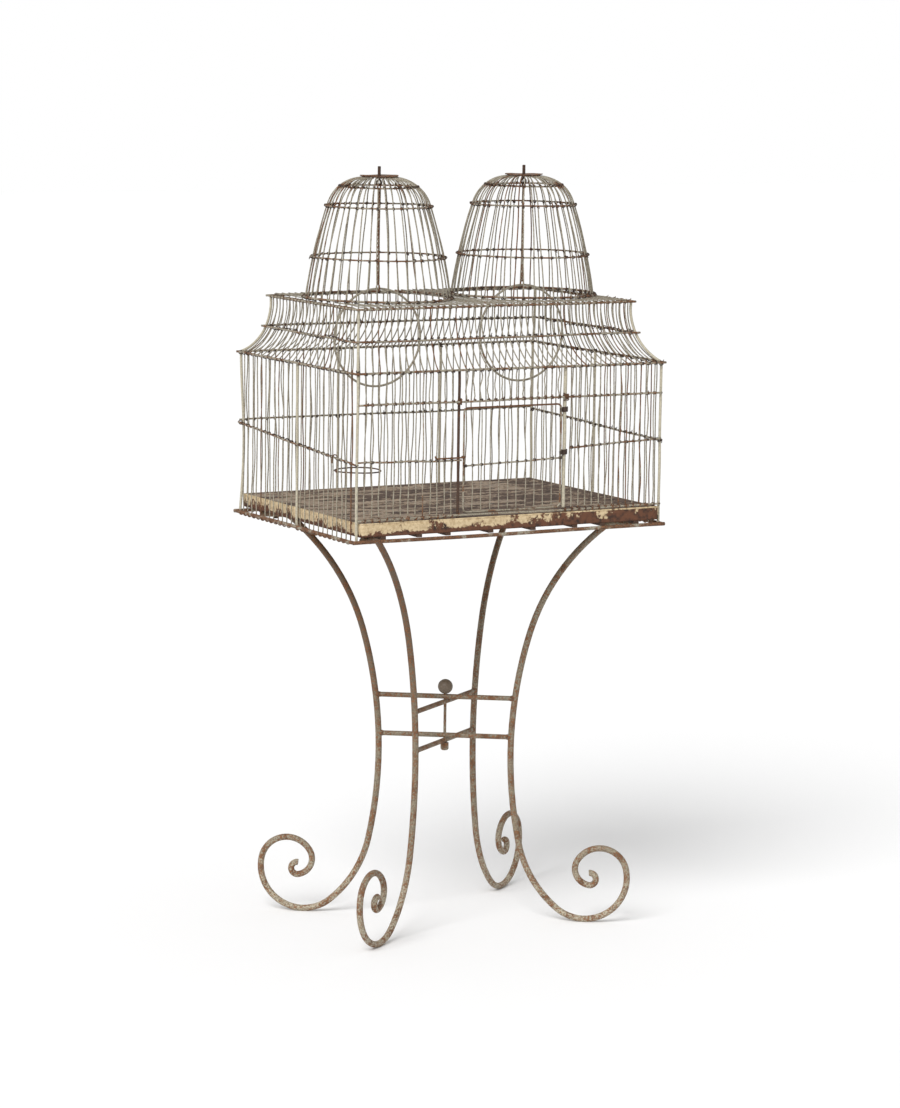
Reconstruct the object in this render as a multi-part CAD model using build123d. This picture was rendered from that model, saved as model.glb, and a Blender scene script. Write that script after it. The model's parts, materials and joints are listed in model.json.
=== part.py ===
from build123d import *

import math
import os

# A double-domed wire bird cage on a stand of four scrolled legs. Millimetres, +Z up, the front faces -Y,
# and the origin is on the floor under the middle of the cage.

# Overall sizes, measured between the centre lines of the base frame's rods
WIDTH = 760.0
DEPTH = 568.0
BASE_HEIGHT = 900.0

# Bar and wire radii
LEG_RADIUS = 7.0
BRACE_RADIUS = 5.5
TIE_RADIUS = 3.2
BASE_RADIUS = 4.0
POST_RADIUS = 3.0
HINGE_POST_RADIUS = 4.0
RAIL_RADIUS = 2.2
EDGE_RAIL_RADIUS = 2.5
WAIST_RADIUS = 2.0
HOOP_RADIUS = 1.8
WIRE_RADIUS = 1.2
DOOR_FRAME_RADIUS = 2.0

# Clearances
TIE_GAP = 0.4  # between a rail and the wires bound to it
SEAT_GAP = 0.3  # between pieces that rest on or butt against each other
RUN_GAP = 0.3  # between pieces that move on each other

# Heights of the cage's levels above the base frame
SILL_RISE = 45.0
WAIST_LEFT_RISE = 168.0  # at the front left corner
WAIST_LATCH_DROP = 5.0  # from that corner to the latch post
WAIST_RIGHT_RISE = 188.0  # at the front right corner
WAIST_HINGE_DROP = 10.0  # from that corner to the hinge post
WAIST_BACK_RISE = 203.0
WAIST_CORNER_STEP = 5.0  # the side rails pass this far below the others
WAIST_OVERHANG = 1.5  # of the front rail past the latch post
LINTEL_RISE = 288.0
SHOULDER_RISE = 354.0
WALL_HEAD_DROP = 1.0  # from the shoulder rail's middle down to the top of the wall's wires

# The mansard curves inwards from the shoulder rail up to the top rail
MANSARD_HEIGHT = 128.0
MANSARD_INSET_X = 37.0
MANSARD_INSET_Y = 70.0
MANSARD_RAIL_SHARE = 0.46  # height of the middle rail as a share of the mansard's height
MANSARD_RAIL_TILT_X = 17.0  # degrees that the side wires lean back from upright at that rail
MANSARD_RAIL_TILT_Y = 26.0  # and the front and back wires

# Upright wires in each bay
OUTER_BAY_WIRES = 13
MIDDLE_BAY_WIRES = 14
SIDE_BAY_WIRES = 12
DOOR_WIRES = 10
DOOR_BAY_HALF = 130.5

# Door and its hook
DOOR_LEFT_GAP = 12.5
DOOR_RIGHT_GAP = 9.5
DOOR_BOTTOM_GAP = 5.5
DOOR_TOP_GAP = 15.0
DOOR_CORNER_RADIUS = 10.0
DOOR_RAIL_RISE = 157.0  # at the hinge side
DOOR_RAIL_DROP = 7.0  # from there to the latch side
COIL_HEIGHT = 12.0
COIL_TOP_DROP = 2.0
HOOK_RADIUS = 1.8
HOOK_LENGTH = 66.0
HOOK_TAIL = 3.0
HOOK_BEND = 5.0
HOOK_EYE_HEIGHT = 6.0
HOOK_EYE_WALL = 2.8

# Tray and the slats that carry it
SLAT_WIDTH = 12.0
SLAT_THICKNESS = 6.0
SLAT_WIRE_STEPS = (1, 5, 10)  # outer bay wire gaps that hold a slat, counted from the door posts
MIDDLE_SLAT_STEP = 4
TRAY_SIDE_GAP = 3.0
TRAY_WALL = 1.0
TRAY_HEIGHT = 29.0
TRAY_HEM_RADIUS = 1.8

# Domes
DOME_OFFSET = 180.0
DOME_RADIUS = 161.0
DOME_WAIST_RADIUS = 137.0
DOME_WAIST_RISE = 108.0
DOME_SHOULDER_RADIUS = 111.0
DOME_SHOULDER_RISE = 200.0
DOME_RISE = 257.0
DOME_WIRES = 44
DOME_WIRE_END_RADIUS = 36.0
LOWER_HOOP_PLACE = 0.43  # shares of the way up the side of the dome
UPPER_HOOP_PLACE = 0.975
COLLAR_HOOP_PLACE = 0.5  # share of the way along the dome's shoulder
CAP_RADIUS = 42.0
CAP_THICKNESS = 2.0
CAP_DISH = 3.0
CAP_FLAT_SHARE = 0.7  # of the disc's radius; outside it the disc turns up
CAP_PIN_RADIUS = 3.4
CAP_PIN_LENGTH = 22.0
CAP_PIN_DROP = 7.0

# Swings
EYE_WIRE_RADIUS = 1.5
EYE_RADIUS = 6.0
SWING_ROD_RADIUS = 2.4
SWING_EYE_WIRE = 1.6
SWING_EYE_INNER = 4.6
SWING_HOOK_INNER = 5.2
SWING_RING_RADIUS = 105.5
SWING_RING_WIRE = 2.4
SWING_RING_DROP = 88.0  # from the dome's foot down to the ring's centre

# Feeder ring on the left wall
FEEDER_RADIUS = 49.0
FEEDER_WIRE = 1.5
FEEDER_DROP = 30.0  # below the waist rail
FEEDER_SIDE_GAP = 3.5  # from the wall's wires
FEEDER_WIRE_STEP = 4  # side wire gaps behind the front left corner

# Legs: from the frame inwards and down, round the foot and into the scroll, each bend turning the same way
LEG_DIRECTION = 35.4  # degrees from the side-to-side line, in plan
LEG_TOP_SHARE = 0.88  # of the way from the middle of the cage to its corner
LEG_TOP_LENGTH = 51.0
LEG_KNEE = (30.0, 39.0)  # radius and turn in degrees
LEG_SHOULDER = (489.0, 35.0)
LEG_WAIST_TURN = 28.0  # its radius follows from the height of the stand
LEG_SHIN = (257.0, 38.0)
LEG_FOOT = (95.0, 142.0)
LEG_SCROLL = ((59.0, 138.0), (37.0, 110.0), (14.0, 196.0))
LEG_WEAR = 0.3  # worn flat under each foot

# Braces, ball and nut
UPPER_TIER_HEIGHT = 488.0
LOWER_TIER_HEIGHT = 401.0
BALL_RADIUS = 16.5
NUT_RADIUS = 9.0
NUT_HEIGHT = 17.0
NUT_ROUNDING = 5.0
NUT_BORE_DEPTH = 12.0
RIVET_RADIUS = 2.4
RIVET_HEAD_RADIUS = 5.0
RIVET_HEAD_HEIGHT = 3.0

# The upright wires of each wall stand in one plane, just inside the rails that they are bound to
PLANE_X = WIDTH / 2 - BASE_RADIUS - TIE_GAP - WIRE_RADIUS
PLANE_Y = DEPTH / 2 - BASE_RADIUS - TIE_GAP - WIRE_RADIUS
POST_X = PLANE_X + WIRE_RADIUS - POST_RADIUS
POST_Y = PLANE_Y + WIRE_RADIUS - POST_RADIUS
HINGE_Y = PLANE_Y + WIRE_RADIUS - HINGE_POST_RADIUS
SILL_Z = BASE_HEIGHT + SILL_RISE
LINTEL_Z = BASE_HEIGHT + LINTEL_RISE
SHOULDER_Z = BASE_HEIGHT + SHOULDER_RISE
TOP_Z = SHOULDER_Z + MANSARD_HEIGHT
WALL_FOOT_Z = BASE_HEIGHT - BASE_RADIUS
WALL_HEAD_Z = SHOULDER_Z - WALL_HEAD_DROP
FRONT_FOOT_Z = SILL_Z - RAIL_RADIUS - SEAT_GAP
ROOF_WIRE_Z = TOP_Z + EDGE_RAIL_RADIUS + TIE_GAP + WIRE_RADIUS
DOME_Z = ROOF_WIRE_Z + WIRE_RADIUS + TIE_GAP + EDGE_RAIL_RADIUS
DOME_WIRE_RADIUS = DOME_RADIUS - EDGE_RAIL_RADIUS - TIE_GAP - WIRE_RADIUS
CAP_LIFT = CAP_DISH * (DOME_WIRE_END_RADIUS / CAP_RADIUS - CAP_FLAT_SHARE) / (1 - CAP_FLAT_SHARE)
CAP_Z = DOME_Z + DOME_RISE + WIRE_RADIUS + TIE_GAP - CAP_LIFT  # the disc clears the wires where it turns up
SLAT_Z = BASE_HEIGHT + BASE_RADIUS + SEAT_GAP
TRAY_Z = SLAT_Z + SLAT_THICKNESS + SEAT_GAP


def outside(plane, radius):
    """How far from the middle a rail of this radius runs, outside the wires of a wall."""
    return plane + WIRE_RADIUS + TIE_GAP + radius


def spread(start, end, count):
    """The places of wires spread evenly between two posts."""
    return [start + (end - start) * (i + 1) / (count + 1) for i in range(count)]


OUTER_BAY = spread(DOOR_BAY_HALF, POST_X, OUTER_BAY_WIRES)
MIDDLE_BAY = spread(-DOOR_BAY_HALF, DOOR_BAY_HALF, MIDDLE_BAY_WIRES)
SIDE_BAY = spread(0, POST_Y, SIDE_BAY_WIRES)
OUTER_PITCH = OUTER_BAY[1] - OUTER_BAY[0]
MIDDLE_PITCH = MIDDLE_BAY[1] - MIDDLE_BAY[0]
SLAT_X = [DOOR_BAY_HALF + (step + 0.5) * OUTER_PITCH for step in SLAT_WIRE_STEPS]
SLAT_X.append(DOOR_BAY_HALF - (MIDDLE_SLAT_STEP + 0.5) * MIDDLE_PITCH)


def rod(start, end, radius):
    """A straight round bar between two points."""
    axis = Vector(*end) - Vector(*start)
    return Solid.make_cylinder(radius, axis.length, Plane(origin=start, z_dir=axis))


def ring(centre, radius, wire, axis=(0, 0, 1)):
    """A closed ring of round wire."""
    return Solid.make_torus(radius, wire, Plane(origin=centre, z_dir=axis))


def bent(path, radius):
    """A round wire or bar along a path of lines and arcs."""
    start = Plane(origin=path @ 0, z_dir=path % 0)
    return sweep(start * Circle(radius), path=path).solid()


def uprights(places, foot, head):
    """Upright wires at the given places in plan."""
    return [rod((x, y, foot), (x, y, head), WIRE_RADIUS) for x, y in places]


def hoop_of_rods(half_x, half_y, z_front, z_side, radius):
    """A rectangle of four straight rods, the side rods butting between the front and back ones."""
    reach = half_y - radius - SEAT_GAP
    rods = [rod((-half_x - radius, s * half_y, z_front), (half_x + radius, s * half_y, z_front), radius)
            for s in (-1, 1)]
    rods += [rod((s * half_x, -reach, z_side), (s * half_x, reach, z_side), radius) for s in (-1, 1)]
    return rods


def leg_path():
    """The centre line of a leg: X is the distance from the cage's axis and Y is the height."""
    top = SLAT_Z - SEAT_GAP - LEG_RADIUS
    start = LEG_TOP_SHARE * math.hypot(WIDTH, DEPTH) / 2
    bends = [LEG_KNEE, LEG_SHOULDER, (leg_waist_radius(top), LEG_WAIST_TURN), LEG_SHIN, LEG_FOOT, *LEG_SCROLL]
    path = Curve() + Line((start, top), (start - LEG_TOP_LENGTH, top))
    for radius, turn in bends:
        path += JernArc(path @ 1, path % 1, radius, turn)
    return path


def leg_waist_radius(top):
    """The radius of the waist bend that brings the foot down to the floor."""
    knee = math.radians(180 + LEG_KNEE[1])
    shoulder = knee + math.radians(LEG_SHOULDER[1])
    waist = shoulder + math.radians(LEG_WAIST_TURN)
    shin = waist + math.radians(LEG_SHIN[1])
    drop = top - (LEG_RADIUS - LEG_WEAR)
    others = (LEG_KNEE[0] * (math.cos(knee) - math.cos(math.pi))
              + LEG_SHOULDER[0] * (math.cos(shoulder) - math.cos(knee))
              + LEG_SHIN[0] * (math.cos(shin) - math.cos(waist))
              + LEG_FOOT[0] * (1 - math.cos(shin)))
    return (drop - others) / (math.cos(waist) - math.cos(shoulder))


def leg_outwards(sx, sy):
    """The level direction from the cage's axis towards one leg."""
    direction = math.radians(LEG_DIRECTION)
    return Vector(sx * math.cos(direction), sy * math.sin(direction), 0)


def leg_plane(sx, sy):
    """The upright plane of one leg, with X outwards and Y up."""
    outwards = leg_outwards(sx, sy)
    return Plane(origin=(0, 0, 0), x_dir=outwards, z_dir=outwards.cross(Vector(0, 0, 1)))


CORNERS = [(-1, -1), (1, -1), (-1, 1), (1, 1)]


def rivet_place(sx, sy):
    """Where the outermost slat crosses a leg's flat top, in plan."""
    x = max(SLAT_X)
    return sx * x, sy * x * math.tan(math.radians(LEG_DIRECTION))


def rivet_hole(x, y):
    """The hole for a rivet through a slat and a leg."""
    low = SLAT_Z - 3 * LEG_RADIUS
    return rod((x, y, low), (x, y, TRAY_Z + LEG_RADIUS), RIVET_RADIUS + SEAT_GAP / 2)


def scroll_legs():
    """Four legs bent from round bar, each with a small worn flat under its foot."""
    floor = Pos(0, 0, -WIDTH) * Box(4 * WIDTH, 4 * WIDTH, 2 * WIDTH)
    legs = []
    for sx, sy in CORNERS:
        leg = bent(leg_plane(sx, sy) * leg_path(), LEG_RADIUS)
        leg = leg - floor - rivet_hole(*rivet_place(sx, sy))
        legs.append(leg.solid())
    return legs


def leg_rivets():
    """A rivet through each leg top and slat, flush on top so that the tray slides over it."""
    rivets = []
    head_top = SLAT_Z - SEAT_GAP - 2 * LEG_RADIUS
    for sx, sy in CORNERS:
        x, y = rivet_place(sx, sy)
        shank = rod((x, y, head_top), (x, y, SLAT_Z + SLAT_THICKNESS), RIVET_RADIUS)
        head = rod((x, y, head_top - RIVET_HEAD_HEIGHT), (x, y, head_top - SEAT_GAP), RIVET_HEAD_RADIUS)
        neck = rod((x, y, head_top - SEAT_GAP), (x, y, head_top), RIVET_RADIUS)
        rivets.append((shank + neck + head).solid())
    return rivets


def tie_hole():
    """The upright hole for the tie rod."""
    return rod((0, 0, 0), (0, 0, BASE_HEIGHT), TIE_RADIUS + SEAT_GAP / 2)


def brace_bars(legs):
    """Two tiers of crossed bars from leg to leg, the second bar of each tier lying on the first."""
    reach = leg_reach()
    bars = []
    for height in (LOWER_TIER_HEIGHT, UPPER_TIER_HEIGHT):
        for level, (sx, sy) in enumerate([(1, 1), (1, -1)]):
            z = height + level * (2 * BRACE_RADIUS + SEAT_GAP)
            end = leg_outwards(sx, sy) * reach(z)
            bar = rod((-end.X, -end.Y, z), (end.X, end.Y, z), BRACE_RADIUS) - tie_hole()
            for leg in legs:
                bar = bar - leg
            bars.append(max(bar.solids(), key=lambda solid: solid.volume))
    return bars


def leg_reach():
    """A function that gives a leg's distance from the axis at a height between the knee and the foot."""
    path = leg_path()

    def reach(height):
        low, high = 0.05, 0.5
        for _ in range(40):
            middle = (low + high) / 2
            if (path @ middle).Y > height:
                low = middle
            else:
                high = middle
        return (path @ low).X

    return reach


def tie_parts():
    """The tie rod through the braces, the ball on its upper end and the nut on its lower end."""
    over = UPPER_TIER_HEIGHT + 3 * BRACE_RADIUS + 2 * SEAT_GAP
    under = LOWER_TIER_HEIGHT - BRACE_RADIUS - SEAT_GAP
    ball_z = over + BALL_RADIUS
    foot_z = under - NUT_BORE_DEPTH + SEAT_GAP
    tie = rod((0, 0, foot_z), (0, 0, ball_z), TIE_RADIUS)
    bore = rod((0, 0, 0), (0, 0, ball_z + SEAT_GAP), TIE_RADIUS + SEAT_GAP / 2)
    ball = Pos(0, 0, ball_z) * Sphere(BALL_RADIUS) - bore
    nut = rod((0, 0, under - NUT_HEIGHT), (0, 0, under), NUT_RADIUS)
    nut = fillet(nut.edges().sort_by(Axis.Z)[0], NUT_ROUNDING)
    nut_bore = rod((0, 0, under - NUT_BORE_DEPTH), (0, 0, under), TIE_RADIUS + SEAT_GAP / 2)
    return [tie], [ball.solid()], [(nut - nut_bore).solid()]


def tray_slats():
    """Flat bars from the front rod to the back rod, standing between the back wires."""
    slats = []
    for x in SLAT_X:
        for s in (-1, 1):
            slat = Pos(s * x, 0, SLAT_Z + SLAT_THICKNESS / 2) * Box(SLAT_WIDTH, DEPTH, SLAT_THICKNESS)
            if x == max(SLAT_X):
                for sy in (-1, 1):
                    slat = slat - rivet_hole(*rivet_place(s, sy))
            slats.append(slat.solid())
    return slats


LATCH_SIDE_X = -DOOR_BAY_HALF + POST_RADIUS + WAIST_OVERHANG


def latch_rail_z(x):
    """The height of the front left waist rail, which falls towards the latch post."""
    return BASE_HEIGHT + WAIST_LEFT_RISE - WAIST_LATCH_DROP * (x + POST_X) / (LATCH_SIDE_X + POST_X)


def waist_rails():
    """The rails half way up the walls; each side rail climbs from the front to the back."""
    y = outside(PLANE_Y, WAIST_RADIUS)
    x = outside(PLANE_X, WAIST_RADIUS)
    left, right, back = (BASE_HEIGHT + rise for rise in (WAIST_LEFT_RISE, WAIST_RIGHT_RISE, WAIST_BACK_RISE))
    hinge_side = DOOR_BAY_HALF + DOOR_RIGHT_GAP
    rails = [rod((-POST_X, -y, left), (LATCH_SIDE_X, -y, latch_rail_z(LATCH_SIDE_X)), WAIST_RADIUS),
             rod((hinge_side, -y, right - WAIST_HINGE_DROP), (POST_X, -y, right), WAIST_RADIUS),
             rod((-POST_X, y, back), (POST_X, y, back), WAIST_RADIUS)]
    for s, front in ((-1, left), (1, right)):
        rails.append(rod((s * x, -POST_Y, front - WAIST_CORNER_STEP),
                         (s * x, POST_Y, back - WAIST_CORNER_STEP), WAIST_RADIUS))
    return rails


def mansard_wire(foot, inset, radius):
    """A wire that curves in from the shoulder rail and ends upright behind the top rail."""
    share = MANSARD_RAIL_SHARE
    drawn_in = math.sqrt(1 - (1 - share) ** 2)
    start_z = SHOULDER_Z + TIE_GAP + radius - WIRE_RADIUS
    height = TOP_Z + WIRE_RADIUS - start_z
    points = [Vector(foot[0] - inset[0] * drawn, foot[1] - inset[1] * drawn, start_z + height * up)
              for drawn, up in ((0, 0), (drawn_in, share), (1, 1))]
    return bent(ThreePointArc(*points), radius)


def mansard_wires(wall_x, wall_y, along):
    """The wires of one mansard side, drawn in towards its middle as they rise; along holds their places."""
    wires = []
    for place in along:
        if wall_y:
            foot = (place, wall_y)
            inset = (place / POST_X * MANSARD_INSET_X, math.copysign(MANSARD_INSET_Y, wall_y))
        else:
            foot = (wall_x, place)
            inset = (math.copysign(MANSARD_INSET_X, wall_x), place / POST_Y * MANSARD_INSET_Y)
        wires.append(mansard_wire(foot, inset, WIRE_RADIUS))
    return wires


def mansard_ribs():
    """The four corner ribs of the mansard, which carry on from the corner posts."""
    ribs = []
    for sx, sy in CORNERS:
        inset = (sx * MANSARD_INSET_X, sy * MANSARD_INSET_Y)
        ribs.append(mansard_wire((sx * POST_X, sy * POST_Y), inset, POST_RADIUS))
    return ribs


def mansard_rail():
    """The rail outside the mansard's wires, part of the way up."""
    drawn_in = math.sqrt(1 - (1 - MANSARD_RAIL_SHARE) ** 2)
    z = SHOULDER_Z + MANSARD_HEIGHT * MANSARD_RAIL_SHARE
    off = WIRE_RADIUS + 3 * TIE_GAP + RAIL_RADIUS
    tilt_x = math.radians(MANSARD_RAIL_TILT_X)
    tilt_y = math.radians(MANSARD_RAIL_TILT_Y)
    half_x = PLANE_X - drawn_in * MANSARD_INSET_X + off * math.cos(tilt_x)
    half_y = PLANE_Y - drawn_in * MANSARD_INSET_Y + off * math.cos(tilt_y)
    return hoop_of_rods(half_x, half_y, z + off * math.sin(tilt_y), z + off * math.sin(tilt_x), RAIL_RADIUS)


def top_rail():
    """The rectangle at the top of the mansard."""
    half_x = outside(PLANE_X - MANSARD_INSET_X, EDGE_RAIL_RADIUS)
    half_y = outside(PLANE_Y - MANSARD_INSET_Y, EDGE_RAIL_RADIUS)
    return hoop_of_rods(half_x, half_y, TOP_Z, TOP_Z, EDGE_RAIL_RADIUS)


def roof_wires(along):
    """Flat wires from the top rail to the feet of the domes, and from front to back where no dome stands."""
    shrink = 1 - MANSARD_INSET_X / POST_X
    end = outside(PLANE_Y - MANSARD_INSET_Y, EDGE_RAIL_RADIUS)
    inner = DOME_RADIUS - 2 * EDGE_RAIL_RADIUS
    wires = []
    for place in along:
        x = place * shrink
        off = min(abs(x - DOME_OFFSET), abs(x + DOME_OFFSET))
        if off >= inner - 2 * WIRE_RADIUS:
            wires.append(rod((x, -end, ROOF_WIRE_Z), (x, end, ROOF_WIRE_Z), WIRE_RADIUS))
            continue
        near = math.sqrt(inner ** 2 - off ** 2)
        wires += [rod((x, s * near, ROOF_WIRE_Z), (x, s * end, ROOF_WIRE_Z), WIRE_RADIUS) for s in (-1, 1)]
    return wires


def dome_side():
    """The lower part of a dome wire, in the XZ plane from the dome's axis."""
    foot = -EDGE_RAIL_RADIUS + 2 * TIE_GAP - SEAT_GAP
    return ThreePointArc((DOME_WIRE_RADIUS, 0, foot),
                         (DOME_WAIST_RADIUS, 0, DOME_WAIST_RISE),
                         (DOME_SHOULDER_RADIUS, 0, DOME_SHOULDER_RISE))


def dome_shoulder():
    """The upper part of a dome wire, which turns in under the cap."""
    side = dome_side()
    return TangentArc(side @ 1, (DOME_WIRE_END_RADIUS, 0, DOME_RISE), tangent=side % 1)


def dome_wires(place):
    """The wires of one dome."""
    wire = bent(dome_side() + dome_shoulder(), WIRE_RADIUS)
    return [place * Rot(0, 0, 360 * (i + 0.5) / DOME_WIRES) * wire for i in range(DOME_WIRES)]


def dome_hoops(place):
    """Two hoops outside the dome's wires and a collar hoop inside them, on its shoulder."""
    hoops = []
    outward = WIRE_RADIUS + TIE_GAP + HOOP_RADIUS
    for path, share, off in ((dome_side(), LOWER_HOOP_PLACE, outward),
                             (dome_side(), UPPER_HOOP_PLACE, outward),
                             (dome_shoulder(), COLLAR_HOOP_PLACE, -outward)):
        point = path @ share
        along = path % share
        hoops.append(place * ring((0, 0, point.Z - along.X * off), point.X + along.Z * off, HOOP_RADIUS))
    return hoops


def cap_disc(place):
    """The dished disc that closes a dome."""
    hole = CAP_PIN_RADIUS + SEAT_GAP / 2
    flat = CAP_RADIUS * CAP_FLAT_SHARE
    low = CAP_Z - DOME_Z
    section = Polyline((hole, 0, low), (flat, 0, low), (CAP_RADIUS, 0, low + CAP_DISH),
                       (CAP_RADIUS, 0, low + CAP_DISH + CAP_THICKNESS), (flat, 0, low + CAP_THICKNESS),
                       (hole, 0, low + CAP_THICKNESS), close=True)
    return [place * revolve(make_face(section), Axis.Z).solid()]


def cap_pin(place):
    """The pin on top of a dome, with an eye below the disc for the swing."""
    low = CAP_Z - DOME_Z
    shank = rod((0, 0, low - CAP_PIN_DROP), (0, 0, low + CAP_THICKNESS + CAP_PIN_LENGTH), CAP_PIN_RADIUS)
    shank = chamfer(shank.edges().sort_by(Axis.Z)[-1], CAP_PIN_RADIUS / 4)
    eye_z = low - CAP_PIN_DROP - EYE_RADIUS + EYE_WIRE_RADIUS
    eye = ring((0, 0, eye_z), EYE_RADIUS, EYE_WIRE_RADIUS, (0, 1, 0))
    return [place * (shank + eye).solid()]


SWING_PIVOT = CAP_Z - DOME_Z - CAP_PIN_DROP - 2 * EYE_RADIUS + EYE_WIRE_RADIUS
RING_PIVOT = SWING_RING_RADIUS - SWING_RING_DROP


def swing_rod(place):
    """A rod with an eye at each end: the upper hangs on the cap pin and the lower carries the ring."""
    top_z = SWING_PIVOT - (SWING_EYE_INNER - EYE_WIRE_RADIUS - RUN_GAP)
    low_z = RING_PIVOT + (SWING_HOOK_INNER - SWING_RING_WIRE - RUN_GAP)
    top_radius = SWING_EYE_INNER + SWING_EYE_WIRE
    low_radius = SWING_HOOK_INNER + SWING_EYE_WIRE
    shank = rod((0, 0, low_z + low_radius), (0, 0, top_z - top_radius), SWING_ROD_RADIUS)
    top = ring((0, 0, top_z), top_radius, SWING_EYE_WIRE, (1, 0, 0))
    low = ring((0, 0, low_z), low_radius, SWING_EYE_WIRE, (1, 0, 0))
    return [place * (shank + top + low).solid()]


def feeder_ring():
    """A level ring inside the left wall, hung by a hook over the waist rail."""
    pitch = SIDE_BAY[1] - SIDE_BAY[0]
    y = -POST_Y + (FEEDER_WIRE_STEP + 0.5) * pitch
    front = BASE_HEIGHT + WAIST_LEFT_RISE - WAIST_CORNER_STEP
    back = BASE_HEIGHT + WAIST_BACK_RISE - WAIST_CORNER_STEP
    rail_z = front + (back - front) * (y + POST_Y) / (2 * POST_Y)
    rail_x = outside(PLANE_X, WAIST_RADIUS)
    inner_x = FEEDER_SIDE_GAP + WIRE_RADIUS - PLANE_X
    outer_x = -rail_x - WAIST_RADIUS - SEAT_GAP - WIRE_RADIUS
    bend = (inner_x - outer_x) / 2
    ring_z = rail_z - FEEDER_DROP
    down = Line((inner_x, y, ring_z), (inner_x, y, rail_z))
    over = ThreePointArc(down @ 1, (inner_x - bend, y, rail_z + bend), (outer_x, y, rail_z))
    tail = Line(over @ 1, (outer_x, y, rail_z - 2 * bend))
    hook = bent(down + over + tail, WIRE_RADIUS)
    loop = ring((inner_x + FEEDER_RADIUS, y, ring_z), FEEDER_RADIUS, FEEDER_WIRE)
    return [(loop + hook).solid()]


def sleeve(centre, bore, wall, height):
    """A short hollow cylinder that turns on an upright rod."""
    x, y, z = centre
    low, high = (x, y, z - height / 2), (x, y, z + height / 2)
    return rod(low, high, bore + wall) - rod(low, high, bore)


DOOR_LEFT_X = -DOOR_BAY_HALF + DOOR_LEFT_GAP
DOOR_RIGHT_X = DOOR_BAY_HALF - DOOR_RIGHT_GAP
DOOR_LOW_Z = SILL_Z + DOOR_BOTTOM_GAP
DOOR_HIGH_Z = LINTEL_Z - DOOR_TOP_GAP
DOOR_Y = -PLANE_Y + WIRE_RADIUS
HOOK_Y = -PLANE_Y - WIRE_RADIUS - 2 * RUN_GAP - HOOK_RADIUS
HOOK_Z = latch_rail_z(DOOR_LEFT_X - HOOK_LENGTH) + WAIST_RADIUS + RUN_GAP + HOOK_RADIUS


def door_frame():
    """The door's frame, one rod bent round with soft corners."""
    middle = ((DOOR_LEFT_X + DOOR_RIGHT_X) / 2, DOOR_Y, (DOOR_LOW_Z + DOOR_HIGH_Z) / 2)
    outline = RectangleRounded(DOOR_RIGHT_X - DOOR_LEFT_X, DOOR_HIGH_Z - DOOR_LOW_Z, DOOR_CORNER_RADIUS)
    face = Plane(origin=middle, x_dir=(1, 0, 0), z_dir=(0, -1, 0)) * outline
    return [bent(face.face().outer_wire(), DOOR_FRAME_RADIUS)]


def door_rail():
    """The cross rail in front of the door's wires."""
    end = DOOR_FRAME_RADIUS + SEAT_GAP
    y = DOOR_Y - WIRE_RADIUS - TIE_GAP - HOOP_RADIUS
    z = BASE_HEIGHT + DOOR_RAIL_RISE
    return [rod((DOOR_LEFT_X + end, y, z - DOOR_RAIL_DROP), (DOOR_RIGHT_X - end, y, z), HOOP_RADIUS)]


def door_wires():
    """The upright wires of the door, between its bottom and top bars."""
    end = DOOR_FRAME_RADIUS + TIE_GAP
    places = [(x, DOOR_Y) for x in spread(DOOR_LEFT_X, DOOR_RIGHT_X, DOOR_WIRES)]
    return uprights(places, DOOR_LOW_Z + end, DOOR_HIGH_Z - end)


def hinge_coils():
    """Two coils on the door's right side that turn on the hinge post."""
    bore = HINGE_POST_RADIUS + RUN_GAP
    wall = DOOR_RIGHT_GAP - DOOR_FRAME_RADIUS - bore - SEAT_GAP
    heights = (BASE_HEIGHT + DOOR_RAIL_RISE + COIL_HEIGHT, DOOR_HIGH_Z - DOOR_CORNER_RADIUS - COIL_TOP_DROP)
    return [sleeve((DOOR_BAY_HALF, -HINGE_Y, z), bore, wall, COIL_HEIGHT).solid() for z in heights]


def door_hook():
    """A hook that turns on the door's left side, lies over the waist rail and turns up at its end."""
    eye = sleeve((DOOR_LEFT_X, DOOR_Y, HOOK_Z), DOOR_FRAME_RADIUS + RUN_GAP, HOOK_EYE_WALL, HOOK_EYE_HEIGHT)
    start = (DOOR_LEFT_X, HOOK_Y, HOOK_Z)
    shank = Line(start, (DOOR_LEFT_X - HOOK_LENGTH, HOOK_Y, HOOK_Z))
    bend = TangentArc(shank @ 1, (DOOR_LEFT_X - HOOK_LENGTH - HOOK_BEND, HOOK_Y, HOOK_Z + HOOK_BEND),
                      tangent=shank % 1)
    tail = Line(bend @ 1, bend @ 1 + Vector(0, 0, HOOK_TAIL))
    return [(eye + bent(shank + bend + tail, HOOK_RADIUS)).solid()]


def tray():
    """The sheet tray: a flat deck with folded-down sides and a hem rolled along its front edge."""
    half_x = POST_X - POST_RADIUS - TRAY_SIDE_GAP
    front = -DEPTH / 2
    back = POST_Y - POST_RADIUS - TRAY_SIDE_GAP
    middle = Pos(0, (front + back) / 2, TRAY_Z + TRAY_HEIGHT / 2)
    outer = Box(2 * half_x, back - front, TRAY_HEIGHT)
    hollow = Pos(0, 0, -TRAY_WALL) * Box(2 * (half_x - TRAY_WALL), back - front - 2 * TRAY_WALL, TRAY_HEIGHT)
    hem_z = TRAY_Z + TRAY_HEIGHT - TRAY_HEM_RADIUS / 2
    hem = rod((-half_x, front + TRAY_WALL, hem_z), (half_x, front + TRAY_WALL, hem_z), TRAY_HEM_RADIUS)
    return [(middle * (outer - hollow) + hem).solid()]


def save(name, solids):
    """Writes one sub-part."""
    shape = solids[0] if len(solids) == 1 else Compound(children=solids)
    export_step(shape, f"parts/{name}.step")


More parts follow.
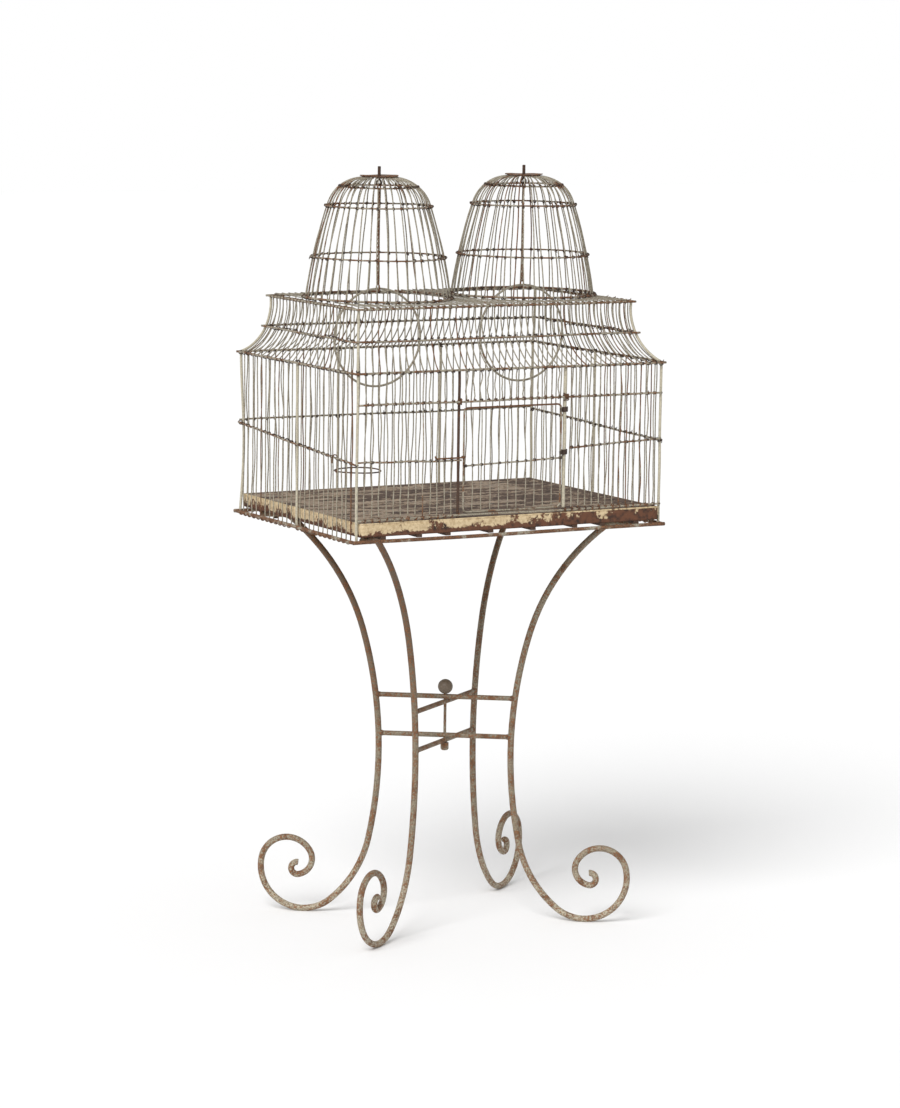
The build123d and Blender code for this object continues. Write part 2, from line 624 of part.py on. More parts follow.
def posts(places, foot, radius):
    """Upright posts with their heads at the top of the wall."""
    return [rod((x, y, foot), (x, y, WALL_HEAD_Z), radius) for x, y in places]


def build_stand():
    """The legs, their braces and the parts that tie the braces together."""
    legs = scroll_legs()
    tie, ball, nut = tie_parts()
    save("scroll_legs", legs)
    save("leg_rivets", leg_rivets())
    save("brace_bars", brace_bars(legs))
    save("tie_rod", tie)
    save("ball_finial", ball)
    save("tie_nut", nut)


def build_frame():
    """The rods and rails that shape the cage, and the slats under its tray."""
    half_x, half_y = WIDTH / 2, DEPTH / 2
    save("base_frame", hoop_of_rods(half_x, half_y, BASE_HEIGHT, BASE_HEIGHT, BASE_RADIUS))
    save("tray_slats", tray_slats())
    save("corner_posts", posts([(sx * POST_X, sy * POST_Y) for sx, sy in CORNERS], WALL_FOOT_Z, POST_RADIUS))
    save("side_posts", posts([(s * POST_X, 0) for s in (-1, 1)], WALL_FOOT_Z, POST_RADIUS))
    save("back_posts", posts([(s * DOOR_BAY_HALF, POST_Y) for s in (-1, 1)], WALL_FOOT_Z, POST_RADIUS))
    save("latch_post", posts([(-DOOR_BAY_HALF, -POST_Y)], FRONT_FOOT_Z, POST_RADIUS))
    save("hinge_post", posts([(DOOR_BAY_HALF, -HINGE_Y)], FRONT_FOOT_Z, HINGE_POST_RADIUS))
    front_y = -outside(PLANE_Y, RAIL_RADIUS)
    save("sill_rail", [rod((-POST_X, front_y, SILL_Z), (POST_X, front_y, SILL_Z), RAIL_RADIUS)])
    save("lintel_rail", [rod((-POST_X, front_y, LINTEL_Z), (POST_X, front_y, LINTEL_Z), RAIL_RADIUS)])
    save("waist_rails", waist_rails())
    save("shoulder_rail", hoop_of_rods(outside(PLANE_X, EDGE_RAIL_RADIUS), outside(PLANE_Y, EDGE_RAIL_RADIUS),
                                       SHOULDER_Z, SHOULDER_Z, EDGE_RAIL_RADIUS))
    save("mansard_rail", mansard_rail())
    save("top_rail", top_rail())
    save("mansard_ribs", mansard_ribs())


def build_wires():
    """The upright wires of the walls, the curved wires of the mansard and the flat wires of the roof."""
    left_bay = [-x for x in OUTER_BAY]
    over_posts = [-DOOR_BAY_HALF, DOOR_BAY_HALF]
    sides = SIDE_BAY + [-y for y in SIDE_BAY]
    across = left_bay + MIDDLE_BAY + OUTER_BAY
    save("front_left_wires", uprights([(x, -PLANE_Y) for x in left_bay], FRONT_FOOT_Z, WALL_HEAD_Z))
    save("front_right_wires", uprights([(x, -PLANE_Y) for x in OUTER_BAY], FRONT_FOOT_Z, WALL_HEAD_Z))
    over_door = [(x, -PLANE_Y) for x in MIDDLE_BAY]
    save("over_door_wires", uprights(over_door, LINTEL_Z - RAIL_RADIUS, WALL_HEAD_Z))
    save("back_wires", uprights([(x, PLANE_Y) for x in across], WALL_FOOT_Z, WALL_HEAD_Z))
    save("left_wires", uprights([(-PLANE_X, y) for y in sides], WALL_FOOT_Z, WALL_HEAD_Z))
    save("right_wires", uprights([(PLANE_X, y) for y in sides], WALL_FOOT_Z, WALL_HEAD_Z))
    save("mansard_front_wires", mansard_wires(0, -PLANE_Y, across + over_posts))
    save("mansard_back_wires", mansard_wires(0, PLANE_Y, across + over_posts))
    save("mansard_left_wires", mansard_wires(-PLANE_X, 0, sides + [0]))
    save("mansard_right_wires", mansard_wires(PLANE_X, 0, sides + [0]))
    save("roof_wires", roof_wires(across + over_posts))


def build_domes():
    """Each dome with its cap and swing."""
    for side, s in (("left", -1), ("right", 1)):
        place = Pos(s * DOME_OFFSET, 0, DOME_Z)
        save(f"dome_{side}_ring", [place * ring((0, 0, 0), DOME_RADIUS, EDGE_RAIL_RADIUS)])
        save(f"dome_{side}_hoops", dome_hoops(place))
        save(f"dome_{side}_wires", dome_wires(place))
        save(f"cap_disc_{side}", cap_disc(place))
        save(f"cap_pin_{side}", cap_pin(place))
        save(f"swing_rod_{side}", swing_rod(place))
        save(f"swing_ring_{side}",
             [place * ring((0, 0, -SWING_RING_DROP), SWING_RING_RADIUS, SWING_RING_WIRE, (0, 1, 0))])


def build_fittings():
    """The feeder ring, the door with its hinges and hook, and the tray."""
    save("feeder_ring", feeder_ring())
    save("door_frame", door_frame())
    save("door_rail", door_rail())
    save("door_wires", door_wires())
    save("hinge_coils", hinge_coils())
    save("door_hook", door_hook())
    save("tray", tray())


os.makedirs("parts", exist_ok=True)
build_stand()
build_frame()
build_wires()
build_domes()
build_fittings()
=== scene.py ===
import json
import math
import random

import bpy
import bmesh
import numpy as np
from mathutils import Matrix, Vector


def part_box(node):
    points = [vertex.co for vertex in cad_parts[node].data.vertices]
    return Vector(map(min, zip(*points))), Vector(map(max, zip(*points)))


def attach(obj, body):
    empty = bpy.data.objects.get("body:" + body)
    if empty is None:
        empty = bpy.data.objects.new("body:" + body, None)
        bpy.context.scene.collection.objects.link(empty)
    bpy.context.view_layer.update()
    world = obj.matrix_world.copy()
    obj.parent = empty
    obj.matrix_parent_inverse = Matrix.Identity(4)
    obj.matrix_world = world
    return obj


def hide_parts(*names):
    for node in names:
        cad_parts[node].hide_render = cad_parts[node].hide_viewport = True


# The looks of a double-domed wire bird cage: hand-bent wires, twisted binding wire at the crossings, and old
# cream paint worn down to rust. Metres, in the same frame as the CAD model.

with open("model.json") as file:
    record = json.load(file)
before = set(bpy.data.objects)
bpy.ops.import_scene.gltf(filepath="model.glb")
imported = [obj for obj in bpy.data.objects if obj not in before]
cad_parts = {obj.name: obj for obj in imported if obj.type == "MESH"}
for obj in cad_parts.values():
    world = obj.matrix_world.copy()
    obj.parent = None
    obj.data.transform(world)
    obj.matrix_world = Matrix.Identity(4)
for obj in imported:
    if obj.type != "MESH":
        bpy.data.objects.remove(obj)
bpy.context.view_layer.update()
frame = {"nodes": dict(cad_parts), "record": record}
RNG = random.Random(7)

# The camera's place and lens, in degrees, metres and millimetres
CAMERA_PLACE = (-4.0715, -7.2920, 2.0156)
CAMERA_AZIMUTH = -29.22
CAMERA_ELEVATION = 8.16
CAMERA_ROLL = 0.78
CAMERA_LENS = 124.3

# Light: the room's brightness, and the lamp's power and the way it shines from
ROOM_LIGHT = 0.58
SUN_POWER = 2.6
SUN_FROM = (-0.75, -0.55, 0.85)

# How far a hand-bent wire strays from straight, along its wall and across it
WANDER = (0.0030, 0.0006)
WANDER_STEP = 0.006
POST_BOW = 0.007  # how far in the back left corner post is bent
WIRE_SWELL = (1.05, 1.22)  # coats of paint thicken a wire by between these shares
HOOK_RUST_RISE = 0.004  # how far above its rail a hooked wire is rusty
HOOK_CLEAR = 0.004  # how far above its rail a hooked wire leaves its straight line

TRAY_HEIGHT = 0.029  # from the tray's lower edge to its deck
DECK_SAG = 0.003  # how deep the deck is buckled; it never rises, so that it slides under the sill
HEM_DROP = 0.0015  # from the deck to the middle of the lip's hem
HEM_RADIUS = 0.0018
SHEET = 0.0010  # the tray's thickness

DOOR_CORNER = 0.010  # the bend of the door frame's corners
COIL_TURNS = 4.5  # of a hinge's wire round the post
GRIP_TURNS = 2.5  # of its binding round the door's side

# Radii of wires and ribs. The hook and its eye are the door's.
BINDING = 0.00085
COIL_WIRE = 0.0012
RIB_RADIUS = 0.0030
FEEDER_WIRE = 0.0015
FEEDER_BINDING = 0.0007
HOOK_SHANK = 0.0018
HOOK_EYE = 0.0014
SWING_EYE = 0.0016
SWING_STRAND = 0.0013
SWING_BINDING = 0.0009
SWING_LAY = 0.018  # the length of one turn of a swing rod's strands

# The dome wires' line, as radius and height over the base ring's middle
DOME_SIDE = ((0.1569, -0.0018), (0.1370, 0.1080), (0.1110, 0.2000))
DOME_SHOULDER = ((0.1110, 0.2000), (0.0838, 0.2395), (0.0360, 0.2570))
DOME_WIRES = 44
DOME_LEAN = 0.004  # how far a dome wire leans out of its place

# The mansard wires' middle point, as shares of the way in and of the way up
MANSARD_MIDDLE = (0.842, 0.46)
MANSARD_FACING = (0.93, 0.36)  # how much it faces outwards and upwards at its middle rail

# The heights of the slices that hold the end faces of the mansard's wires and ribs, at the foot and the head
WIRE_SLICES = (0.0021, 0.0006)
RIB_SLICES = (0.0052, 0.0008)

# Colours as they look on screen, 0 to 255
WIRE_PAINT = (154, 147, 130)
WIRE_DARK = (104, 92, 76)
POST_PAINT = (182, 174, 153)
LEG_PAINT = (138, 128, 108)
LEG_DARK = (90, 76, 59)
# brown paint mixed with painted shade, for the upper left legs under the tray
LEG_BROWN_AND_SHADE = (102, 82, 60)
FOOT_PAINT = (180, 170, 148)
TRAY_PAINT = (204, 183, 146)
TRAY_DULL = (170, 146, 110)
TRAY_RUST = (98, 62, 42)
DECK_PAINT = (164, 142, 114)
DECK_DULL = (132, 108, 86)
DECK_SHEET = (98, 79, 66)
RUST = (78, 55, 39)
DEEP_RUST = (44, 32, 26)
ORANGE_RUST = (126, 86, 56)
BALL_BROWN = (104, 90, 76)
CAP_BROWN = (92, 75, 62)
KNOT_BROWN = (68, 52, 41)


def linear(colour):
    """A screen colour as the shader's linear colour."""
    shares = [c / 255 for c in colour]
    return [c / 12.92 if c <= 0.04045 else ((c + 0.055) / 1.055) ** 2.4 for c in shares] + [1.0]


# ---- Materials

def shader_nodes(name):
    """A new material, its node tree and its shader."""
    material = bpy.data.materials.new(name)
    material.use_nodes = True
    tree = material.node_tree
    shader = tree.nodes["Principled BSDF"]
    return material, tree, shader


def noise(tree, place, scale, detail=3.0, stretch=None):
    """A noise texture on the object's own coordinates."""
    node = tree.nodes.new("ShaderNodeTexNoise")
    node.inputs["Scale"].default_value = scale
    node.inputs["Detail"].default_value = detail
    node.inputs["Roughness"].default_value = 0.6
    if stretch:
        mapping = tree.nodes.new("ShaderNodeMapping")
        mapping.inputs["Scale"].default_value = stretch
        tree.links.new(place, mapping.inputs["Vector"])
        place = mapping.outputs["Vector"]
    tree.links.new(place, node.inputs["Vector"])
    return node.outputs["Fac"]


def steps(tree, value, low, high):
    """A value turned into a soft mask: 0 below low and 1 above high."""
    node = tree.nodes.new("ShaderNodeMapRange")
    node.interpolation_type = "SMOOTHSTEP"
    node.inputs["From Min"].default_value = low
    node.inputs["From Max"].default_value = high
    tree.links.new(value, node.inputs["Value"])
    return node.outputs["Result"]


def maths(tree, operation, first, second):
    """One maths step on two sockets or numbers."""
    node = tree.nodes.new("ShaderNodeMath")
    node.operation = operation
    node.use_clamp = True
    for socket, value in zip(node.inputs, (first, second)):
        if isinstance(value, (int, float)):
            socket.default_value = value
        else:
            tree.links.new(value, socket)
    return node.outputs["Value"]


def blended(tree, share, first, second):
    """Two colours, or outputs that give colours, mixed by a mask."""
    node = tree.nodes.new("ShaderNodeMix")
    node.data_type = "RGBA"
    tree.links.new(share, node.inputs["Factor"])
    sockets = [s for s in node.inputs if s.type == "RGBA"]
    for socket, value in zip(sockets, (first, second)):
        if isinstance(value, tuple):
            socket.default_value = linear(value)
        else:
            tree.links.new(value, socket)
    return [s for s in node.outputs if s.type == "RGBA"][0]


def spread_value(tree, share, low, high):
    """A mask turned into a number between two values."""
    node = tree.nodes.new("ShaderNodeMapRange")
    node.inputs["To Min"].default_value = low
    node.inputs["To Max"].default_value = high
    tree.links.new(share, node.inputs["Value"])
    return node.outputs["Result"]


def worn_paint(name, paint, dark, rust_level, speck=420.0, patch=38.0, bump=0.0004, rough=(0.5, 0.85),
               grain=0.35):
    """Old paint over rusty iron: blotches of wear, fine specks, and more rust where the mesh says so."""
    material, tree, shader = shader_nodes(name)
    place = tree.nodes.new("ShaderNodeTexCoord").outputs["Object"]
    if callable(paint):
        paint = paint(tree, place)
    patches = noise(tree, place, patch)
    specks = noise(tree, place, speck, 2.0)
    grime = noise(tree, place, patch * 9)
    held = tree.nodes.new("ShaderNodeAttribute")
    held.attribute_name = "rust"
    level = maths(tree, "ADD", patches, maths(tree, "MULTIPLY", held.outputs["Fac"], 0.5))
    level = maths(tree, "MULTIPLY", level, 1 - grain / 2)
    level = maths(tree, "ADD", level, maths(tree, "MULTIPLY", specks, grain))
    worn = steps(tree, level, rust_level, rust_level + 0.09)
    base = blended(tree, steps(tree, grime, 0.4, 0.68), paint, dark)
    iron = blended(tree, steps(tree, specks, 0.42, 0.62), RUST, ORANGE_RUST)
    tree.links.new(blended(tree, worn, base, iron), shader.inputs["Base Color"])
    tree.links.new(spread_value(tree, worn, *rough), shader.inputs["Roughness"])
    relief = tree.nodes.new("ShaderNodeBump")
    relief.inputs["Strength"].default_value = 0.6
    relief.inputs["Distance"].default_value = bump
    height = maths(tree, "SUBTRACT", maths(tree, "ADD", specks, 0.4), maths(tree, "MULTIPLY", worn, 0.4))
    tree.links.new(height, relief.inputs["Height"])
    tree.links.new(relief.outputs["Normal"], shader.inputs["Normal"])
    return material


def leg_paint_and_shade(tree, place):
    """The stand's paint with painted shade: browner on the upper half of the left legs, partly brown paint
    and partly painted shade from the tray and from the side turned from the light, and paler at the feet.
    """
    axes = tree.nodes.new("ShaderNodeSeparateXYZ")
    tree.links.new(place, axes.inputs["Vector"])
    # painted shade: the left legs turn brown on their upper half, under the tray
    left = steps(tree, axes.outputs["X"], 0.08, -0.08)
    high = steps(tree, axes.outputs["Z"], 0.30, 0.70)
    upper = blended(tree, maths(tree, "MULTIPLY", left, high), LEG_PAINT, LEG_BROWN_AND_SHADE)
    return blended(tree, steps(tree, axes.outputs["Z"], 0.22, 0.02), upper, FOOT_PAINT)


def tray_enamel(name, patch, wear, streak, paint, dull, sheet, crack_shadow_level):
    """Enamel on sheet, chipped and streaked down to brown metal, with dark lines along the streaks, partly
    cracks and partly painted shadow under the enamel's lifted edges.
    """
    material, tree, shader = shader_nodes(name)
    place = tree.nodes.new("ShaderNodeTexCoord").outputs["Object"]
    patches = noise(tree, place, patch, 6.0, streak)
    chips = noise(tree, place, 150.0, 4.0)
    held = tree.nodes.new("ShaderNodeAttribute")
    held.attribute_name = "rust"
    level = maths(tree, "ADD", maths(tree, "MULTIPLY", patches, 0.8), maths(tree, "MULTIPLY", chips, 0.3))
    level = maths(tree, "ADD", level, maths(tree, "MULTIPLY", held.outputs["Fac"], 0.45))
    worn = steps(tree, level, wear, wear + 0.06)
    coat = blended(tree, steps(tree, chips, 0.35, 0.7), paint, dull)
    metal = blended(tree, steps(tree, noise(tree, place, 70.0, 5.0), 0.42, 0.72), sheet, DEEP_RUST)
    # dark lines along the streaks: partly cracks, partly painted shadow under the flaking enamel's edges
    crack_and_shadow = steps(tree, noise(tree, place, patch * 3, 6.0, streak), crack_shadow_level, crack_shadow_level + 0.05)
    colour = blended(tree, crack_and_shadow, blended(tree, worn, coat, metal), DEEP_RUST)
    tree.links.new(colour, shader.inputs["Base Color"])
    tree.links.new(spread_value(tree, worn, 0.45, 0.9), shader.inputs["Roughness"])
    relief = tree.nodes.new("ShaderNodeBump")
    relief.inputs["Strength"].default_value = 0.7
    relief.inputs["Distance"].default_value = 0.0008
    tree.links.new(maths(tree, "SUBTRACT", 1.0, worn), relief.inputs["Height"])
    tree.links.new(relief.outputs["Normal"], shader.inputs["Normal"])
    return material


PAINTED_WIRE = worn_paint("old_paint_on_wire", WIRE_PAINT, WIRE_DARK, 0.76)
PAINTED_RAIL = worn_paint("old_paint_on_rails", WIRE_PAINT, WIRE_DARK, 0.66)
PAINTED_POST = worn_paint("thick_cream_paint", POST_PAINT, WIRE_PAINT, 0.78)
# The legs' colour holds painted shade: browner on the upper left legs where the tray shades them, mixed with
# brown paint.
PAINTED_LEG = worn_paint("speckled_leg_paint_and_shade", leg_paint_and_shade, LEG_DARK, 0.68,
                         speck=260.0, patch=40.0, bump=0.0006, grain=0.8)
PAINTED_BALL = worn_paint("worn_brown_paint", BALL_BROWN, LEG_DARK, 0.85,
                          speck=260.0, patch=60.0, bump=0.0006)
PAINTED_CAP = worn_paint("cap_paint", CAP_BROWN, BALL_BROWN, 0.64, speck=260.0, patch=60.0, bump=0.0006)
RUSTY = worn_paint("bare_rust", RUST, DEEP_RUST, 0.72,
                   speck=500.0, patch=60.0, bump=0.0005, rough=(0.8, 0.95))
KNOTS = worn_paint("rusty_binding_wire", KNOT_BROWN, DEEP_RUST, 1.0,
                   speck=500.0, patch=50.0, bump=0.0003, rough=(0.75, 0.95))
PALE_KNOTS = worn_paint("painted_binding_wire", WIRE_DARK, RUST, 0.76,
                        speck=500.0, patch=50.0, bump=0.0003, rough=(0.75, 0.95))
# Both tray enamels carry dark lines that are partly cracks and partly painted shadow.
TRAY_FLOOR = tray_enamel("tray_floor_enamel", patch=20.0, wear=0.65, streak=(0.6, 1.8, 1.0),
                         paint=DECK_PAINT, dull=DECK_DULL, sheet=DECK_SHEET, crack_shadow_level=0.57)
TRAY_LIP = tray_enamel("tray_lip_enamel", patch=30.0, wear=0.66, streak=(1.0, 1.0, 1.0),
                       paint=TRAY_PAINT, dull=TRAY_DULL, sheet=TRAY_RUST, crack_shadow_level=0.68)


# ---- Building tubes

def flow(points):
    """Unit directions along a line of points."""
    ways = np.gradient(points, axis=0)
    return ways / np.linalg.norm(ways, axis=1)[:, None]


class Tubes:
    """Round wires gathered into one mesh, each point holding how rusty it is."""

    def __init__(self):
        self.points, self.faces, self.rust = [], [], []
        self.count = 0

    def add(self, line, radius, sides=8, closed=False, rust=0.0):
        """A wire along a line of points. radius and rust may be one number or one for each point."""
        line = np.asarray(line, float)
        n = len(line)
        if closed:
            ways = np.roll(line, -1, axis=0) - np.roll(line, 1, axis=0)
            ways /= np.linalg.norm(ways, axis=1)[:, None]
        else:
            ways = flow(line)
        side = np.cross(ways[0], (0.0, 0.0, 1.0) if abs(ways[0][2]) < 0.8 else (1.0, 0.0, 0.0))
        side /= np.linalg.norm(side)
        radius = np.broadcast_to(radius, n)
        rust = np.broadcast_to(rust, n)
        turns = np.arange(sides) * 2 * math.pi / sides
        rings = np.empty((n, sides, 3))
        for i in range(n):
            side = side - ways[i] * (side @ ways[i])
            side /= np.linalg.norm(side)
            other = np.cross(ways[i], side)
            rings[i] = line[i] + radius[i] * (np.outer(np.cos(turns), side) + np.outer(np.sin(turns), other))
        self.points.append(rings.reshape(-1, 3))
        self.rust.append(np.repeat(rust, sides))
        start = self.count
        spans = n if closed else n - 1
        # a closed ring's last span joins on where the frame has turned round
        shift = 0
        if closed:
            gaps = np.linalg.norm(rings[0] - rings[-1][0], axis=1)
            shift = int(np.argmin(gaps))
        for i in range(spans):
            j = (i + 1) % n
            k = shift if closed and j == 0 else 0
            for s in range(sides):
                t = (s + 1) % sides
                self.faces.append((start + i * sides + s, start + i * sides + t,
                                   start + j * sides + (t + k) % sides, start + j * sides + (s + k) % sides))
        if not closed:
            self.faces.append(tuple(start + s for s in reversed(range(sides))))
            self.faces.append(tuple(start + (n - 1) * sides + s for s in range(sides)))
        self.count += n * sides

    def make(self, name, material, body, *nodes):
        """The gathered wires as one piece that rides on a body and stands for CAD nodes."""
        return make_piece(name, np.concatenate(self.points), self.faces, np.concatenate(self.rust),
                          material, body, *nodes)


def make_piece(name, points, faces, rust, material, body, *nodes):
    """A smooth mesh with a rust value at each point."""
    mesh = bpy.data.meshes.new(name)
    mesh.from_pydata([tuple(p) for p in points], [], faces)
    held = mesh.attributes.new("rust", "FLOAT", "POINT")
    held.data.foreach_set("value", np.asarray(rust, dtype=np.float32))
    mesh.polygons.foreach_set("use_smooth", [True] * len(mesh.polygons))
    mesh.materials.append(material)
    mesh.update()
    piece = bpy.data.objects.new(name, mesh)
    bpy.context.scene.collection.objects.link(piece)
    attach(piece, body)
    if nodes:
        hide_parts(*nodes)
    return piece


# ---- Reading the CAD model

def solids_of(node):
    """The points of each separate solid in a CAD node."""
    source = bmesh.new()
    source.from_mesh(frame["nodes"][node].data)
    source.transform(frame["nodes"][node].matrix_world)
    bmesh.ops.remove_doubles(source, verts=source.verts, dist=1e-6)
    seen, groups = set(), []
    for first in source.verts:
        if first in seen:
            continue
        group, waiting = [], [first]
        seen.add(first)
        while waiting:
            vert = waiting.pop()
            group.append(vert.co[:])
            for edge in vert.link_edges:
                other = edge.other_vert(vert)
                if other not in seen:
                    seen.add(other)
                    waiting.append(other)
        groups.append(np.array(group))
    source.free()
    return groups


def straight_rods(node):
    """(start, end, radius) of each straight rod in a CAD node, from its lower or left end."""
    rods = []
    for points in solids_of(node):
        middle = points.mean(axis=0)
        way = np.linalg.svd(points - middle, full_matrices=False)[2][0]
        way = way * (1 if way[np.argmax(abs(way))] > 0 else -1)
        along = (points - middle) @ way
        away = np.linalg.norm(points - middle - np.outer(along, way), axis=1)
        rods.append((middle + way * along.min(), middle + way * along.max(), away.max()))
    return rods


def level_rings(node):
    """(centre, radius, wire radius) of each ring in a CAD node."""
    rings = []
    for points in solids_of(node):
        low, high = points.min(axis=0), points.max(axis=0)
        size = high - low
        wire = size.min() / 2
        rings.append(((low + high) / 2, size.max() / 2 - wire, wire))
    return rings


def curved_ends(node, foot_slice, head_slice):
    """(foot, head) of each curved wire in a CAD node, from the points within a slice at each end."""
    ends = []
    for points in solids_of(node):
        low, high = points[:, 2].min(), points[:, 2].max()
        foot = points[points[:, 2] < low + foot_slice].mean(axis=0)
        head = points[points[:, 2] > high - head_slice].mean(axis=0)
        ends.append((foot, head))
    return ends


# ---- Lines that wires follow

def round_turns(count):
    """Evenly spaced angles once round a circle."""
    return np.linspace(0, 2 * math.pi, count + 1)[:-1]


def stacked(x, y, z):
    """Points from their three coordinates, each a row of numbers or one number for all."""
    return np.stack(np.broadcast_arrays(x, y, z), axis=1)


def arc(first, middle, last, count):
    """Points along the circular arc through three points."""
    a, b, c = (np.asarray(p, float) for p in (first, middle, last))
    u, v = b - a, c - a
    normal = np.cross(u, v)
    size = normal @ normal
    centre = a + np.cross(normal, u) * (v @ v) / (2 * size) - np.cross(normal, v) * (u @ u) / (2 * size)
    start = a - centre
    other = np.cross(normal / math.sqrt(size), start)
    end = c - centre
    angle = math.atan2(end @ other, end @ start) % (2 * math.pi)
    turns = np.linspace(0, angle, count)[:, None]
    return centre + np.cos(turns) * start + np.sin(turns) * other


def strayed(line, amount=0.0008, hold=0.15):
    """A line bent a little by hand: slow waves along x, y and z, less at its ends."""
    line = np.asarray(line, float)
    n = len(line)
    share = np.linspace(0, 1, n)
    held = np.clip(np.minimum(share, 1 - share) / hold, 0.25, 1)
    out = line.copy()
    for way, size in zip(np.eye(3), np.broadcast_to(amount, 3)):
        wave = sum(RNG.uniform(-1, 1) / k * np.sin(2 * math.pi * (k * share * 0.9 + RNG.random()))
                   for k in (1, 2, 3))
        out += np.outer(wave * held * size, way)
    return out


def between(start, end, step=WANDER_STEP):
    """Evenly spaced points from start to end."""
    start, end = np.asarray(start, float), np.asarray(end, float)
    count = max(2, int(np.linalg.norm(end - start) / step) + 1)
    return start + np.linspace(0, 1, count)[:, None] * (end - start)


def rusted_at(line, heights, reach=0.006):
    """How rusty each point of a line is, near any of the heights."""
    z = np.asarray(line)[:, 2]
    rust = np.zeros(len(z))
    for height in heights:
        rust = np.maximum(rust, np.exp(-((z - height) / reach) ** 2) * RNG.uniform(0.2, 1.0))
    return rust


# ---- Binding wire

def lashing(tubes, centre, out, along, up, depth, width, tail_chance):
    """A turn or two of binding wire round a crossing, pulled to one diagonal or both, and its loose end."""
    ways = [(1, 1), (1, -1)] if RNG.random() < 0.65 else [(1, RNG.choice((-1, 1)))]
    turns = np.arange(12) * 2 * math.pi / 12
    for a, b in ways:
        slant = along * a + up * b * RNG.uniform(0.6, 1.3)
        slant /= np.linalg.norm(slant)
        tilt = out + slant * RNG.uniform(-0.2, 0.2)
        loop = centre + np.outer(np.cos(turns), tilt) * depth + np.outer(np.sin(turns), slant) * width
        loop += np.array([[RNG.uniform(-1, 1) * 0.00018 for _ in range(3)] for _ in turns])
        tubes.add(loop, BINDING * RNG.uniform(0.8, 1.3), 5, True, RNG.uniform(0, 0.9))
    if RNG.random() < tail_chance:
        tip = centre + out * depth * 0.8
        end = tip + out * 0.0015 + up * RNG.uniform(0.003, 0.007) + along * RNG.uniform(-0.002, 0.002)
        tubes.add(strayed(between(tip, end, 0.001), 0.0004), BINDING, 5, False, 0.5)


def lash_row(tubes, crossings, out, along, up, rail_radius, wire_radius, tail_chance=0.25):
    """Lashings at a row of crossings. Each is the middle of the wire; the rail lies outside it."""
    out, along, up = (np.asarray(v, float) for v in (out, along, up))
    depth = rail_radius + wire_radius + BINDING
    width = max(rail_radius, wire_radius) * 1.3 + BINDING
    for point in crossings:
        lashing(tubes, np.asarray(point) + out * rail_radius, out, along, up, depth, width, tail_chance)


def heavy_knot(tubes, centre, out, along, up, radius, turns=6):
    """Many turns of wire pulled tight round a joint."""
    for _ in range(turns):
        shift = up * RNG.uniform(-1, 1) * radius * 0.7 + along * RNG.uniform(-1, 1) * radius * 0.4
        size = radius * RNG.uniform(0.85, 1.1)
        lashing(tubes, centre + shift, out, along, up, size, size, 0.4)


# ---- The cage's walls

def hooked_foot(line, out, rail_radius, wire_radius):
    """The wire's lower end bent out under the rail and up its outer side."""
    foot = np.asarray(line[0], float)
    out = np.asarray(out, float)
    bend = rail_radius + wire_radius
    centre = foot + out * bend
    turns = np.linspace(0.15 - 1.15 * math.pi, 0, 11)[:, None]
    loop = centre + out * bend * np.cos(turns) + np.array((0, 0, 1.0)) * bend * np.sin(turns)
    return np.concatenate([loop[::-1], line[1:]])


def wall_lines(node, out, foot=None):
    """The strayed lines of a wall's wires. foot holds the height and radius of the rail they hook round."""
    ways = [WANDER[1] if abs(way) > 0.5 else WANDER[0] for way in out[:2]] + [0.0]
    lines = []
    for start, end, radius in straight_rods(node):
        line = strayed(between(start, end), ways)
        if foot:
            height, rail_radius = foot
            line = line[line[:, 2] > height + HOOK_CLEAR]
            line = np.concatenate([[[*line[0][:2], height]], line])
            line = hooked_foot(line, out, rail_radius, radius)
        lines.append(line)
    return lines


def rust_patch(line, heights):
    """Rust near the rails, and now and then along a whole wire."""
    bare = RNG.uniform(0.4, 0.9) if RNG.random() < 0.1 else 0.0
    return np.clip(rusted_at(line, heights) + bare, 0, 1)


def at_height(line, height):
    """The point of an upright line at a height."""
    upper = line[np.argmin(line[:, 2]):]
    return np.array([np.interp(height, upper[:, 2], upper[:, axis]) for axis in (0, 1)] + [height])


def middle_z(node):
    """The height of the middle of a CAD node."""
    low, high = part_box(node)
    return (low[2] + high[2]) / 2


BASE_Z = middle_z("base_frame")
SILL_Z = middle_z("sill_rail")
LINTEL_Z = middle_z("lintel_rail")
SHOULDER_Z = middle_z("shoulder_rail")
MANSARD_Z = middle_z("mansard_rail")
TOP_Z = middle_z("top_rail")
BASE_RADIUS = BASE_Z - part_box("base_frame")[0][2]
EDGE_RADIUS = TOP_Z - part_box("top_rail")[0][2]
RAIL_RADIUS = SILL_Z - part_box("sill_rail")[0][2]
WIRE_RADIUS = (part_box("back_wires")[1][1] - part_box("back_wires")[0][1]) / 2
WAIST_RODS = straight_rods("waist_rails")
WAIST_RADIUS = WAIST_RODS[0][2]


def waist_height(point):
    """The height of the waist rail nearest to a point in plan."""
    best = min(WAIST_RODS, key=lambda rod: distance_to(point, rod))
    start, end, _ = best
    way = end - start
    share = ((np.append(point[:2], start[2]) - start) @ way) / (way @ way)
    return (start + way * share)[2]


def distance_to(point, rod):
    """Distance in plan from a point to a rod."""
    start, end, _ = rod
    way = (end - start)[:2]
    share = np.clip(((np.asarray(point[:2]) - start[:2]) @ way) / (way @ way), 0, 1)
    return np.linalg.norm(start[:2] + way * share - np.asarray(point[:2]))


